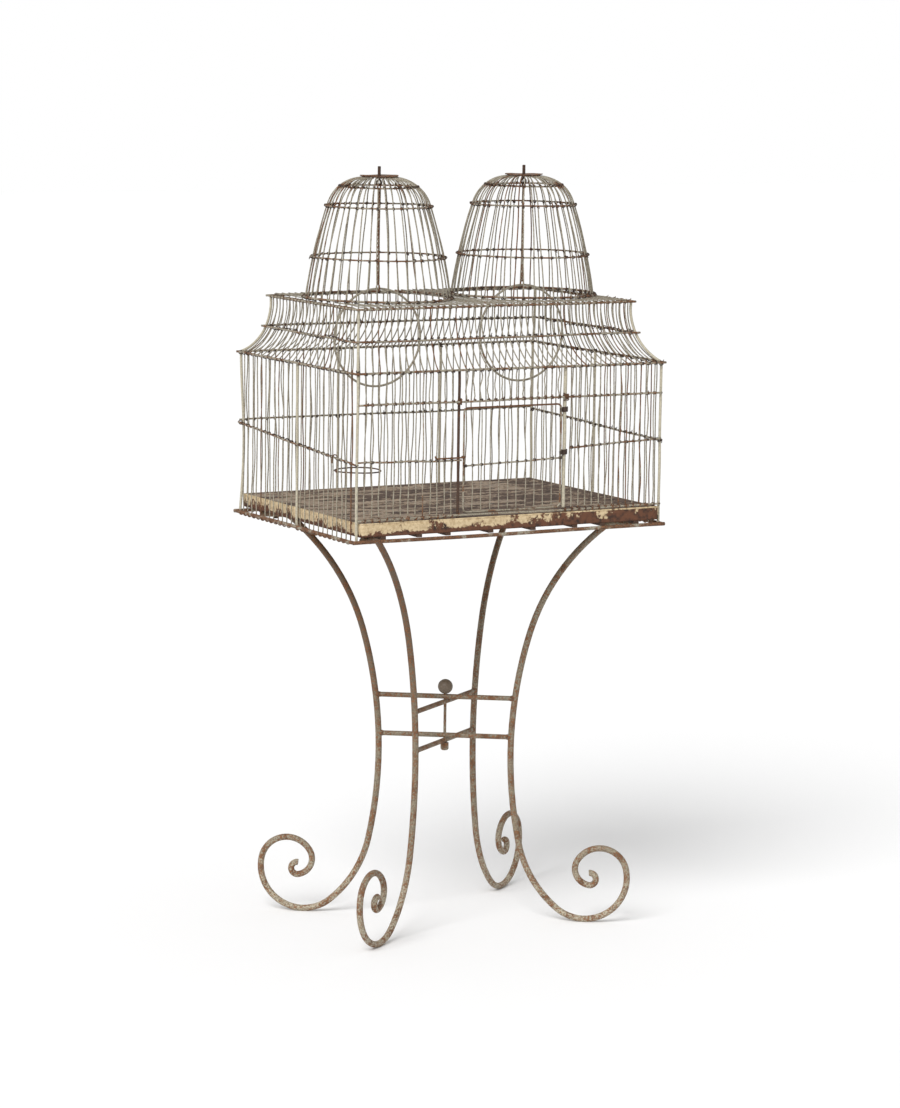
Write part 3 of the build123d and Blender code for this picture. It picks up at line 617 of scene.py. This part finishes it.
X_WAY, Y_WAY, Z_WAY = (np.array(v, float) for v in ((1, 0, 0), (0, 1, 0), (0, 0, 1)))
SILL = (SILL_Z, RAIL_RADIUS)
BASE = (BASE_Z, BASE_RADIUS)
WALLS = {"front_left_wires": (-Y_WAY, X_WAY, SILL), "front_right_wires": (-Y_WAY, X_WAY, SILL),
         "over_door_wires": (-Y_WAY, X_WAY, None), "back_wires": (Y_WAY, X_WAY, BASE),
         "left_wires": (-X_WAY, Y_WAY, BASE), "right_wires": (X_WAY, Y_WAY, BASE)}


def build_walls():
    """The upright wires of all four walls, and the binding wire where they cross the rails."""
    shoulder, waist, front = Tubes(), Tubes(), Tubes()
    for node, (out, along, foot) in WALLS.items():
        build_wall(node, out, along, foot, shoulder, waist, front)
    knot_front_posts(front)
    knot_posts(shoulder, waist)
    shoulder.make("shoulder_knots", KNOTS, "cage")
    waist.make("waist_knots", KNOTS, "cage")
    front.make("lintel_knots", RUSTY, "cage")


def build_wall(node, out, along, foot, shoulder, waist, front):
    """One wall's wires. Its knots go to the shoulder, the waist and the front rails."""
    wires = Tubes()
    over_door = node == "over_door_wires"
    heights = [SHOULDER_Z, BASE_Z] + ([SILL_Z, LINTEL_Z] if over_door else [])
    for line in wall_lines(node, out, foot):
        rust = rust_patch(line, heights)
        if foot:
            rust[line[:, 2] < foot[0] + HOOK_RUST_RISE] = RNG.uniform(0.5, 1.0)
        wires.add(line, WIRE_RADIUS * RNG.uniform(*WIRE_SWELL), 8, False, rust)
        crossing = at_height(line, SHOULDER_Z - 0.001)
        lash_row(shoulder, [crossing], out, along, Z_WAY, EDGE_RADIUS, WIRE_RADIUS)
        if over_door:
            crossings = [at_height(line, LINTEL_Z)] * 2
            lash_row(front, crossings, out, along, Z_WAY, RAIL_RADIUS, WIRE_RADIUS, 0.9)
        else:
            height = waist_height(at_height(line, SHOULDER_Z - 0.1))
            lash_row(waist, [at_height(line, height)], out, along, Z_WAY, WAIST_RADIUS, WIRE_RADIUS)
        if node.startswith("front"):
            crossings = [at_height(line, LINTEL_Z), at_height(line, SILL_Z)]
            lash_row(front, crossings, out, along, Z_WAY, RAIL_RADIUS, WIRE_RADIUS, 0.5)
    wires.make(f"{node}_bent", PAINTED_WIRE, "cage", node)


def knot_front_posts(tubes):
    """The heavy knots where the lintel and the sill meet the posts beside the door."""
    for post in ("latch_post", "hinge_post"):
        start, _, radius = straight_rods(post)[0]
        joint = np.array((start[0], start[1] - radius, LINTEL_Z))
        heavy_knot(tubes, joint, -Y_WAY, X_WAY, Z_WAY, radius + RAIL_RADIUS, 7)
        heavy_knot(tubes, joint + Z_WAY * (SILL_Z - LINTEL_Z), -Y_WAY, X_WAY, Z_WAY, radius + 0.001, 4)


def knot_posts(shoulder, waist):
    """The knots where the shoulder and waist rails cross the other posts."""
    for node in ("corner_posts", "side_posts", "back_posts"):
        for start, _, radius in straight_rods(node):
            out = np.sign(start * np.array((1, 1, 0))) if abs(start[1]) > 0.01 else np.sign(start) * X_WAY
            out = out / np.linalg.norm(out)
            side = np.cross(Z_WAY, out)
            for tubes, height in ((shoulder, SHOULDER_Z), (waist, waist_height(start))):
                heavy_knot(tubes, np.array((*start[:2], height)), out, side, Z_WAY, radius + 0.0015, 2)


def rail_piece(name, nodes, material, body="cage", amount=0.0007, sides=10, rust=0.25, end_rust=0.15):
    """Rails or posts bent slightly by hand."""
    tubes = Tubes()
    for node in nodes:
        for start, end, radius in straight_rods(node):
            line = strayed(between(start, end, 0.008), amount, 0.05)
            share = np.linspace(0, 1, len(line))
            ends = np.exp(-(np.minimum(share, 1 - share) * len(line) / 5) ** 2)
            tubes.add(line, radius, sides, False, np.clip(ends * end_rust + rust * RNG.random(), 0, 1))
    return tubes.make(name, material, body, *nodes)


def build_rails():
    """The rails, posts and frame."""
    rail_piece("base_frame_worn", ["base_frame"], PAINTED_RAIL, amount=0.0008, sides=14, rust=0.6)
    rail_piece("shoulder_rail_worn", ["shoulder_rail"], PAINTED_RAIL)
    rail_piece("mansard_rail_worn", ["mansard_rail"], PAINTED_RAIL, amount=0.0010)
    rail_piece("top_rail_worn", ["top_rail"], PAINTED_RAIL)
    rail_piece("front_rails_worn", ["sill_rail", "lintel_rail"], PAINTED_RAIL, amount=0.0012)
    rail_piece("waist_rails_worn", ["waist_rails"], PAINTED_RAIL, amount=0.0015)
    rail_piece("posts_painted", ["side_posts", "back_posts", "hinge_post"], PAINTED_POST, sides=12, rust=0.05)
    build_corner_posts()
    rail_piece("latch_post_rusty", ["latch_post"], RUSTY, sides=12)


def build_corner_posts():
    """The corner posts; the back left one is bent in at its middle."""
    tubes = Tubes()
    for start, end, radius in straight_rods("corner_posts"):
        line = strayed(between(start, end), (0.0008, 0.0008, 0))
        if start[0] < 0 < start[1]:
            bow = np.sin(np.linspace(0, 1, len(line)) ** 0.8 * math.pi) ** 2 * POST_BOW
            line = line + np.outer(bow, (1, -0.5, 0))
        tubes.add(line, radius, 12, False, rusted_at(line, [BASE_Z, SHOULDER_Z]))
    tubes.make("corner_posts_painted", PAINTED_POST, "cage", "corner_posts")


def mansard_line(foot, head):
    """The curve of a mansard wire between its two ends."""
    across, up = MANSARD_MIDDLE
    middle = foot + (head - foot) * np.array((across, across, up))
    return arc(foot, middle, head, 26)


def build_mansard():
    """The curved wires over the shoulder, the corner ribs and the flat wires of the roof."""
    heights = [SHOULDER_Z, MANSARD_Z, TOP_Z]
    rail_knots, top_knots = Tubes(), Tubes()
    for side, out, along in (("front", -Y_WAY, X_WAY), ("back", Y_WAY, X_WAY),
                             ("left", -X_WAY, Y_WAY), ("right", X_WAY, Y_WAY)):
        node = f"mansard_{side}_wires"
        tubes = Tubes()
        for foot, head in curved_ends(node, *WIRE_SLICES):
            line = strayed(mansard_line(foot, head), 0.0009)
            tubes.add(line, WIRE_RADIUS * RNG.uniform(*WIRE_SWELL), 8, False, rust_patch(line, heights))
            crossing = line[np.argmin(abs(line[:, 2] - MANSARD_Z + 0.001))]
            lean = out * MANSARD_FACING[0] + Z_WAY * MANSARD_FACING[1]
            lash_row(rail_knots, [crossing], lean, along, Z_WAY, RAIL_RADIUS, WIRE_RADIUS)
            lash_row(top_knots, [np.array((*head[:2], TOP_Z))], out, along, Z_WAY, EDGE_RADIUS, WIRE_RADIUS)
        tubes.make(f"{node}_bent", PAINTED_WIRE, "cage", node)
    rail_knots.make("mansard_knots", KNOTS, "cage")
    top_knots.make("top_knots", PALE_KNOTS, "cage")
    ribs = Tubes()
    for foot, head in curved_ends("mansard_ribs", *RIB_SLICES):
        ribs.add(strayed(mansard_line(foot, head), 0.0004), RIB_RADIUS, 12, False, 0.1)
    ribs.make("mansard_ribs_painted", PAINTED_POST, "cage", "mansard_ribs")
    roof = Tubes()
    for start, end, radius in straight_rods("roof_wires"):
        roof.add(strayed(between(start, end, 0.012), 0.0007), radius, 8, False, 0.15)
    roof.make("roof_wires_bent", PAINTED_WIRE, "cage", "roof_wires")


# ---- The domes and swings

def dome_line(centre, angle):
    """A dome wire's line at an angle round the dome."""
    way = np.array((math.cos(angle), math.sin(angle), 0))
    side = arc(*(centre + way * r + Z_WAY * h for r, h in DOME_SIDE), 36)
    shoulder = arc(*(centre + way * r + Z_WAY * h for r, h in DOME_SHOULDER), 16)
    return np.concatenate([side, shoulder[1:]])


def build_dome(side):
    """One dome: its wires, rings, knots and cap."""
    (centre, ring_radius, ring_wire), = level_rings(f"dome_{side}_ring")
    hoops = level_rings(f"dome_{side}_hoops")
    wires, rings, knots = Tubes(), Tubes(), Tubes()
    heights = [centre[2]] + [hoop[0][2] for hoop in hoops]
    lines = []
    for index in range(DOME_WIRES):
        angle = 2 * math.pi * (index + 0.5) / DOME_WIRES
        line = leaning_dome_line(centre, angle)
        wires.add(line, WIRE_RADIUS * RNG.uniform(*WIRE_SWELL), 8, False, rust_patch(line, heights))
        lines.append((angle, line))
    wires.make(f"dome_{side}_wires_bent", PAINTED_WIRE, "cage", f"dome_{side}_wires")
    for middle, radius, wire in [(centre, ring_radius, ring_wire)] + hoops:
        rings.add(wavy_ring(middle, radius), wire, 10, True, 0.3)
        lash_hoop(knots, lines, centre, middle, radius, wire, 2 if middle is centre else 1)
    rings.make(f"dome_{side}_hoops_worn", PAINTED_RAIL, "cage", f"dome_{side}_ring", f"dome_{side}_hoops")
    knots.make(f"dome_{side}_knots", KNOTS, "cage")
    build_cap(side)


def leaning_dome_line(centre, angle):
    """A dome wire's line, bent by hand and leaning a little to one side between its ends."""
    line = strayed(dome_line(centre, angle), 0.0010)
    sideways = np.array((-math.sin(angle), math.cos(angle), 0))
    share = np.linspace(0, 1, len(line))
    lean = RNG.uniform(-1, 1) * DOME_LEAN * np.sin(share * math.pi) + RNG.uniform(-1, 1) * 0.0015 * share
    return line + np.outer(lean, sideways)


def wavy_ring(middle, radius):
    """A level ring's line, slightly out of round and out of level."""
    turns = round_turns(96)
    wave = 0.0006 * np.sin(3 * turns + RNG.random() * 6) + 0.0004 * np.sin(7 * turns + RNG.random() * 6)
    tilt = 0.0007 * np.sin(2 * turns + RNG.random() * 6)
    x = middle[0] + (radius + wave) * np.cos(turns)
    y = middle[1] + (radius + wave) * np.sin(turns)
    return stacked(x, y, middle[2] + tilt)


def lash_hoop(knots, lines, centre, middle, radius, wire, count):
    """Lashings where a ring or hoop crosses each of a dome's wires."""
    profile = dome_line(np.zeros(3), 0.0)[:, [0, 2]]
    gaps = profile - (radius, middle[2] - centre[2])
    nearest = int(np.argmin(np.linalg.norm(gaps, axis=1)))
    towards = -gaps[nearest] / np.linalg.norm(gaps[nearest])
    for angle, line in lines:
        way = np.array((math.cos(angle), math.sin(angle), 0))
        out = way * towards[0] + Z_WAY * towards[1]
        along = np.array((-way[1], way[0], 0))
        lash_row(knots, [line[nearest]] * count, out, along, np.cross(along, out), wire, WIRE_RADIUS, 0.2)


def lathe(name, section, centre, material, body, nodes, wobble=0.0, count=64):
    """A turned piece from (radius, height) points, with a slightly uneven edge."""
    points, faces, rust = [], [], []
    turns = np.arange(count) * 2 * math.pi / count
    phase = RNG.random() * 6
    for radius, height in section:
        lift = wobble * (radius / max(r for r, _ in section)) ** 2
        for turn in turns:
            wave = math.sin(2 * turn + phase) + 0.5 * math.sin(5 * turn + 2 * phase)
            points.append((centre[0] + radius * math.cos(turn), centre[1] + radius * math.sin(turn),
                           centre[2] + height + lift * wave))
            rust.append(0.1 + 0.5 * (radius / max(r for r, _ in section)) ** 4)
    rows = len(section)
    for i in range(rows):
        j = (i + 1) % rows
        for s in range(count):
            t = (s + 1) % count
            faces.append((i * count + s, i * count + t, j * count + t, j * count + s))
    return make_piece(name, points, faces, rust, material, body, *nodes)


def build_cap(side):
    """The dished cap disc, worn at its rim."""
    low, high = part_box(f"cap_disc_{side}")
    centre = ((low[0] + high[0]) / 2, (low[1] + high[1]) / 2, low[2])
    r = (high[0] - low[0]) / 2
    thick = 0.0016
    section = [(0.0038, 0.0), (0.45 * r, 0.0), (0.70 * r, 0.0003), (0.86 * r, 0.0016), (0.97 * r, 0.0026),
               (r, 0.0034), (0.99 * r, 0.0046), (0.95 * r, 0.0046), (0.84 * r, 0.0016 + thick),
               (0.68 * r, 0.0004 + thick), (0.2 * r, 0.0003 + thick), (0.0038, 0.0008 + thick)]
    lathe(f"cap_disc_{side}_worn", section, centre, PAINTED_CAP, "cage", [f"cap_disc_{side}"], 0.0006)


def build_swing(side):
    """A swing: a rod twisted from two wires with an eye at each end, and the ring."""
    low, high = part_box(f"swing_rod_{side}")
    x, y = (low[0] + high[0]) / 2, (low[1] + high[1]) / 2
    pivots = {joint["name"]: joint for joint in frame["record"]["behaviour"]["joints"]}
    top_pivot = pivots[f"swing_{side}_pivot"]["pos_m"][2]
    low_pivot = pivots[f"ring_{side}_pivot"]["pos_m"][2]
    eyes = ((top_pivot - 0.0028, 0.0062), (low_pivot + 0.0025, 0.0068))
    tubes = Tubes()
    turns = round_turns(32)
    for z, radius in eyes:
        eye = stacked(x, y + radius * np.sin(turns), z + radius * np.cos(turns))
        tubes.add(eye, SWING_EYE, 10, True, 0.6)
    head, foot = eyes[0][0] - eyes[0][1], eyes[1][0] + eyes[1][1]
    twist_rod(tubes, x, y, foot, head)
    tubes.make(f"swing_rod_{side}_twisted", PAINTED_RAIL, f"swing_{side}", f"swing_rod_{side}")
    build_swing_ring(side)


def twist_rod(tubes, x, y, foot, head):
    """Two strands twisted together, with four tight turns of wire round their lower end."""
    heights = np.linspace(foot, head, 150)
    for phase in (0, math.pi):
        turn = phase + (heights - foot) / SWING_LAY * 2 * math.pi
        strand = stacked(x + SWING_STRAND * np.cos(turn), y + SWING_STRAND * np.sin(turn), heights)
        tubes.add(strand, SWING_STRAND, 8, False, 0.4)
    turns = round_turns(16)
    for z in np.linspace(foot + 0.004, foot + 0.016, 4):
        wrap = stacked(x + 0.0027 * np.cos(turns), y + 0.0027 * np.sin(turns), z + 0.0008 * np.cos(turns))
        tubes.add(wrap, SWING_BINDING, 6, True, 0.8)


def build_swing_ring(side):
    """The ring that hangs from a swing's rod, a little out of round away from its top."""
    (centre, radius, wire), = level_rings(f"swing_ring_{side}")
    turns = round_turns(120)
    fade = 1 - np.clip(np.cos(turns) * 12 - 10.5, 0, 1)
    wave = 0.0012 * np.sin(2 * turns + RNG.random()) * fade * (1 - np.cos(turns)) / 2
    line = stacked(centre[0] + (radius + wave) * np.sin(turns), centre[1],
                   centre[2] + (radius + wave) * np.cos(turns))
    ring = Tubes()
    ring.add(line, wire, 10, True, 0.15)
    ring.make(f"swing_ring_{side}_worn", PAINTED_WIRE, f"ring_{side}", f"swing_ring_{side}")


# ---- The door, the hook and the feeder ring

def rounded_outline(low, high, y, corner):
    """The door frame's centre line, with soft corners."""
    middles = [(high[0] - corner, high[1] - corner, 0), (low[0] + corner, high[1] - corner, 90),
               (low[0] + corner, low[1] + corner, 180), (high[0] - corner, low[1] + corner, 270)]
    line = []
    for cx, cz, start in middles:
        for turn in np.radians(np.linspace(start, start + 90, 7)):
            line.append((cx + corner * math.cos(turn), y, cz + corner * math.sin(turn)))
    closed = line + line[:1]
    full = [between(a, b, 0.008)[:-1] for a, b in zip(closed, closed[1:])]
    return np.concatenate(full)


def build_door():
    """The door's frame, wires, rail, hinge coils and hook."""
    low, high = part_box("door_frame")
    wire = (high[1] - low[1]) / 2
    y = (low[1] + high[1]) / 2
    frame_tube = Tubes()
    line = rounded_outline((low[0] + wire, low[2] + wire), (high[0] - wire, high[2] - wire), y, DOOR_CORNER)
    top_rust = np.where(line[:, 2] > high[2] - 3 * wire, 0.8, 0.2)
    frame_tube.add(line, wire, 10, True, top_rust)
    frame_tube.make("door_frame_worn", PAINTED_RAIL, "door", "door_frame")
    build_door_wires(wire)
    build_hinge_coils(wire, high[0] - wire, y)
    build_hook()


def build_door_wires(frame_wire):
    """The door's upright wires, its sloping rail and their binding wire."""
    tubes, knots = Tubes(), Tubes()
    (rail_start, rail_end, rail_radius), = straight_rods("door_rail")
    for start, end, radius in straight_rods("door_wires"):
        line = strayed(between(start, end), 0.0009)
        height = np.interp(start[0], (rail_start[0], rail_end[0]), (rail_start[2], rail_end[2]))
        tubes.add(line, radius, 8, False, rusted_at(line, [height]))
        crossing = np.array((start[0], start[1], height))
        lash_row(knots, [crossing], -Y_WAY, X_WAY, Z_WAY, rail_radius, radius)
    line = strayed(between(rail_start, rail_end), 0.0008)
    tubes.add(line, rail_radius, 10, False, 0.3)
    tubes.make("door_wires_bent", PAINTED_WIRE, "door", "door_wires", "door_rail")
    for end in (rail_start, rail_end):
        lash_row(knots, [end + Y_WAY * rail_radius] * 2, -Y_WAY, X_WAY, Z_WAY, rail_radius, frame_wire)
    knots.make("door_knots", KNOTS, "door")


def build_hinge_coils(frame_wire, stile_x, stile_y):
    """Wire wound loosely round the hinge post and tightly round the door's side."""
    coils = Tubes()
    for points in solids_of("hinge_coils"):
        low, high = points.min(axis=0), points.max(axis=0)
        centre, radius = (low + high) / 2, (high[0] - low[0]) / 2 - COIL_WIRE
        loose = helix(centre, radius, low[2] + COIL_WIRE, high[2] - COIL_WIRE, COIL_TURNS)
        coils.add(loose, COIL_WIRE, 8, False, 0.6)
        grip = helix((stile_x, stile_y), frame_wire + BINDING, low[2] + 0.002, high[2] - 0.003, GRIP_TURNS)
        coils.add(grip, BINDING, 6, False, 0.7)
    coils.make("hinge_coils_wound", KNOTS, "door", "hinge_coils")


def helix(centre, radius, low_z, high_z, turns):
    """A line wound round an upright axis."""
    count = int(turns * 18) + 1
    turn = np.linspace(0, 2 * math.pi * turns, count) + math.pi
    rise = np.linspace(low_z, high_z, count)
    return stacked(centre[0] + radius * np.cos(turn), centre[1] + radius * np.sin(turn), rise)


def build_hook():
    """The door's hook: an eye of wound wire on the door's left side and a shank that turns up at its end."""
    low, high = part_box("door_hook")
    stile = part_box("door_frame")
    wire = (stile[1][1] - stile[0][1]) / 2
    x, y = stile[0][0] + wire, (stile[0][1] + stile[1][1]) / 2
    shank_y, shank_z = low[1] + HOOK_SHANK, low[2] + 0.003
    turn = np.linspace(math.pi * 1.5, -math.pi * 2.2, 60)
    bore = wire + 0.0003 + HOOK_EYE
    rise = shank_z + np.linspace(0.0, 0.0022, 60)
    tubes = Tubes()
    tubes.add(stacked(x + bore * np.cos(turn), y + bore * np.sin(turn), rise), HOOK_EYE, 8, False, 0.7)
    end_x = low[0] + HOOK_SHANK
    bend_start = (end_x + 0.005, shank_y, shank_z)
    bend_end = (end_x, shank_y, shank_z + 0.005)
    shank = between((x, shank_y, shank_z), bend_start, 0.004)
    lift = arc(bend_start, (end_x + 0.0015, shank_y, shank_z + 0.0015), bend_end, 7)
    tail = between(bend_end, (end_x, shank_y, high[2] - HOOK_SHANK), 0.003)
    line = np.concatenate([shank, lift[1:], tail[1:]])
    taper = np.interp(np.linspace(0, 1, len(line)), (0, 0.9, 1), (HOOK_SHANK, HOOK_SHANK, HOOK_SHANK * 0.6))
    tubes.add(line, taper, 10, False, 0.7)
    tubes.make("door_hook_bent", RUSTY, "door_hook_body", "door_hook")


def build_feeder():
    """The feeder ring, hooked over the waist rail."""
    low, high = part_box("feeder_ring")
    radius = (high[1] - low[1]) / 2 - FEEDER_WIRE
    y, z = (low[1] + high[1]) / 2, low[2] + FEEDER_WIRE
    x = high[0] - FEEDER_WIRE - radius
    turns = round_turns(72)
    tubes = Tubes()
    ring = stacked(x + radius * np.cos(turns), y + radius * np.sin(turns), z + 0.0006 * np.sin(2 * turns))
    tubes.add(ring, FEEDER_WIRE, 10, True, 0.3)
    inner, outer, top = x - radius, low[0] + WIRE_RADIUS, high[2] - WIRE_RADIUS
    bend = (inner - outer) / 2
    over = arc((inner, y, top - bend), (inner - bend, y, top), (outer, y, top - bend), 13)
    rise = between((inner, y, z), over[0], 0.004)
    drop = between(over[-1], over[-1] - np.array((0, 0, 2 * bend)), 0.003)
    tubes.add(np.concatenate([rise[:-1], over, drop[1:]]), WIRE_RADIUS, 8, False, 0.6)
    wrap = turns[::6]
    for step in (-1, 0, 1):
        wrap_line = stacked(inner + 0.0026 * np.cos(wrap), y + step * 0.0013, z + 0.0026 * np.sin(wrap))
        tubes.add(wrap_line, FEEDER_BINDING, 5, True, 0.8)
    tubes.make("feeder_ring_hung", RUSTY, "cage", "feeder_ring")


# ---- The tray and its slats

def build_tray():
    """The sheet tray: a buckled deck, folded-down sides and a rolled front lip."""
    low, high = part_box("tray")
    x0, x1, y1 = low[0], high[0], high[1]
    y0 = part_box("base_frame")[0][1] + BASE_RADIUS
    top_z = low[2] + TRAY_HEIGHT
    nx, ny = 90, 66
    xs, ys = np.linspace(x0 + 0.001, x1 - 0.001, nx), np.linspace(y0 + 0.001, y1 - 0.001, ny)
    waves = [(RNG.uniform(4, 16), RNG.uniform(4, 16), RNG.random() * 6, RNG.random() * 6) for _ in range(7)]
    points, rust, faces = [], [], []
    for py in ys:
        for px in xs:
            edge = min(px - x0, x1 - px, py - y0, y1 - py)
            lift = sum(math.sin(a * px + p) * math.sin(b * py + q) for a, b, p, q in waves) / len(waves)
            points.append((px, py, top_z - DECK_SAG * (1 - lift) / 2 * min(1, edge / 0.05)))
            rust.append(0.34 + 0.2 * math.exp(-edge / 0.012) - 0.2 * math.exp(-(px - x0) / 0.10))
    for j in range(ny - 1):
        for i in range(nx - 1):
            k = j * nx + i
            faces.append((k, k + 1, k + nx + 1, k + nx))
    make_piece("tray_deck_sheet", points, faces, rust, TRAY_FLOOR, "tray_body")
    build_tray_walls(x0, x1, y0, y1, low[2], top_z)


def build_tray_walls(x0, x1, y0, y1, low_z, top_z):
    """The tray's folded sides, as one strip under the deck's edge, and the lip's rolled hem."""
    corners = [(x0, y0), (x1, y0), (x1, y1), (x0, y1)]
    section = ((0.0, low_z), (0.0, low_z + 0.0035), (0.0, low_z + 0.010), (0.0, low_z + 0.020), (0.0, top_z),
               (SHEET, top_z), (SHEET, low_z + 0.014), (SHEET, low_z))
    points, rust, faces = [], [], []
    count = 0
    for (ax, ay), (bx, by) in zip(corners, corners[1:] + corners[:1]):
        line = between((ax, ay, 0), (bx, by, 0), 0.012)
        way = (line[-1] - line[0]) / np.linalg.norm(line[-1] - line[0])
        inwards = np.array((-way[1], way[0], 0))
        n = len(line)
        share = np.linspace(0, 1, n)
        dent = sum(RNG.uniform(-1, 1) * np.sin(2 * math.pi * k * share + RNG.random() * 6) for k in (2, 5, 9))
        dent = dent * 0.0005 * np.clip(np.minimum(share, 1 - share) * 12, 0, 1)
        front = abs(ay - y0) < 1e-6 and abs(by - y0) < 1e-6
        for i in range(n):
            for depth, z in section:
                push = (dent[i] if low_z + 0.004 < z < top_z + 0.001 else 0) + depth
                points.append(line[i] + inwards * push + np.array((0, 0, z)))
                near_foot = math.exp(-(z - low_z) / 0.006)
                rust.append(min(1, 0.9 * near_foot + (0.05 + 0.35 * share[i] if front else 0.1)))
        rows = len(section)
        for i in range(n - 1):
            for s in range(rows):
                t = (s + 1) % rows
                a, b = count + i * rows, count + (i + 1) * rows
                faces.append((a + s, b + s, b + t, a + t))
        faces.append(tuple(count + s for s in range(rows)))
        faces.append(tuple(count + (n - 1) * rows + s for s in reversed(range(rows))))
        count += n * rows
    make_piece("tray_walls_sheet", points, faces, rust, TRAY_LIP, "tray_body", "tray")
    hem = Tubes()
    height = top_z - HEM_DROP
    line = between((x0, y0 + 0.001, height), (x1, y0 + 0.001, height), 0.01)
    hem.add(strayed(line, (0, 0.0004, 0)), HEM_RADIUS, 12, False, 0.15)
    hem.make("tray_lip_hem", TRAY_LIP, "tray_body")


# ---- The stand

def build_welds():
    """Small lumps of weld where the brace bars meet the legs."""
    tubes = Tubes()
    for start, end, radius in straight_rods("brace_bars"):
        for tip, inner in ((start, end), (end, start)):
            way = (inner - tip) / np.linalg.norm(inner - tip)
            line = tip + np.outer(np.linspace(-0.0035, 0.007, 8), way)
            swell = radius * np.array((1.28, 1.34, 1.32, 1.26, 1.18, 1.10, 1.04, 1.0))
            uneven = 1 + 0.04 * np.array([RNG.uniform(-1, 1) for _ in swell])
            tubes.add(line, swell * uneven, 16, False, 0.45)
    tubes.make("brace_welds", PAINTED_LEG, "cage")


def finish_cad(name, material):
    """A CAD node shown in its own shape, with one of the materials here."""
    node = frame["nodes"][name]
    node.data.materials.clear()
    node.data.materials.append(material)


def build_stand():
    """The stand's pieces keep their CAD shapes."""
    for name in ("scroll_legs", "brace_bars", "tie_rod", "tie_nut"):
        finish_cad(name, PAINTED_LEG)
    finish_cad("ball_finial", PAINTED_BALL)
    for name in ("cap_pin_left", "cap_pin_right", "leg_rivets", "tray_slats"):
        finish_cad(name, RUSTY)
    build_welds()


# ---- The set, light and camera

def build_set():
    """A pale floor, a soft lamp and a bright room."""
    mesh = bpy.data.meshes.new("studio_floor")
    mesh.from_pydata([(-30, -30, 0), (30, -30, 0), (30, 30, 0), (-30, 30, 0)], [], [(0, 1, 2, 3)])
    floor = bpy.data.objects.new("studio_floor", mesh)
    bpy.context.scene.collection.objects.link(floor)
    pale, _, shader = shader_nodes("pale_floor")
    shader.inputs["Base Color"].default_value = (0.92, 0.92, 0.92, 1)
    shader.inputs["Roughness"].default_value = 0.9
    mesh.materials.append(pale)
    build_room_light()
    sun = bpy.data.lights.new("soft_lamp", "SUN")
    sun.energy = SUN_POWER
    sun.angle = math.radians(35)
    holder = bpy.data.objects.new("soft_lamp", sun)
    holder.rotation_mode = "QUATERNION"
    holder.rotation_quaternion = (-Vector(SUN_FROM)).to_track_quat("-Z", "Y")
    bpy.context.scene.collection.objects.link(holder)


def build_room_light():
    """White all round to look at, and a little dimmer as light."""
    world = bpy.data.worlds.new("bright_room")
    world.use_nodes = True
    tree = world.node_tree
    background = tree.nodes["Background"]
    background.inputs["Color"].default_value = (1, 1, 1, 1)
    seen = tree.nodes.new("ShaderNodeLightPath").outputs["Is Camera Ray"]
    strength = spread_value(tree, seen, ROOM_LIGHT, 1.0)
    tree.links.new(strength, background.inputs["Strength"])
    bpy.context.scene.world = world
    bpy.context.scene.view_settings.view_transform = "Standard"


def build_camera():
    """The camera, where the cage is seen from its front left corner."""
    data = bpy.data.cameras.new("camera")
    data.lens = CAMERA_LENS
    camera = bpy.data.objects.new("camera", data)
    bpy.context.scene.collection.objects.link(camera)
    turn = (Matrix.Rotation(math.radians(CAMERA_AZIMUTH), 4, "Z")
            @ Matrix.Rotation(math.radians(90 - CAMERA_ELEVATION), 4, "X")
            @ Matrix.Rotation(math.radians(CAMERA_ROLL), 4, "Z"))
    camera.matrix_world = Matrix.Translation(CAMERA_PLACE) @ turn
    bpy.context.scene.camera = camera


build_walls()
build_rails()
build_mansard()
for side in ("left", "right"):
    build_dome(side)
    build_swing(side)
build_door()
build_feeder()
build_tray()
build_stand()
build_set()
build_camera()
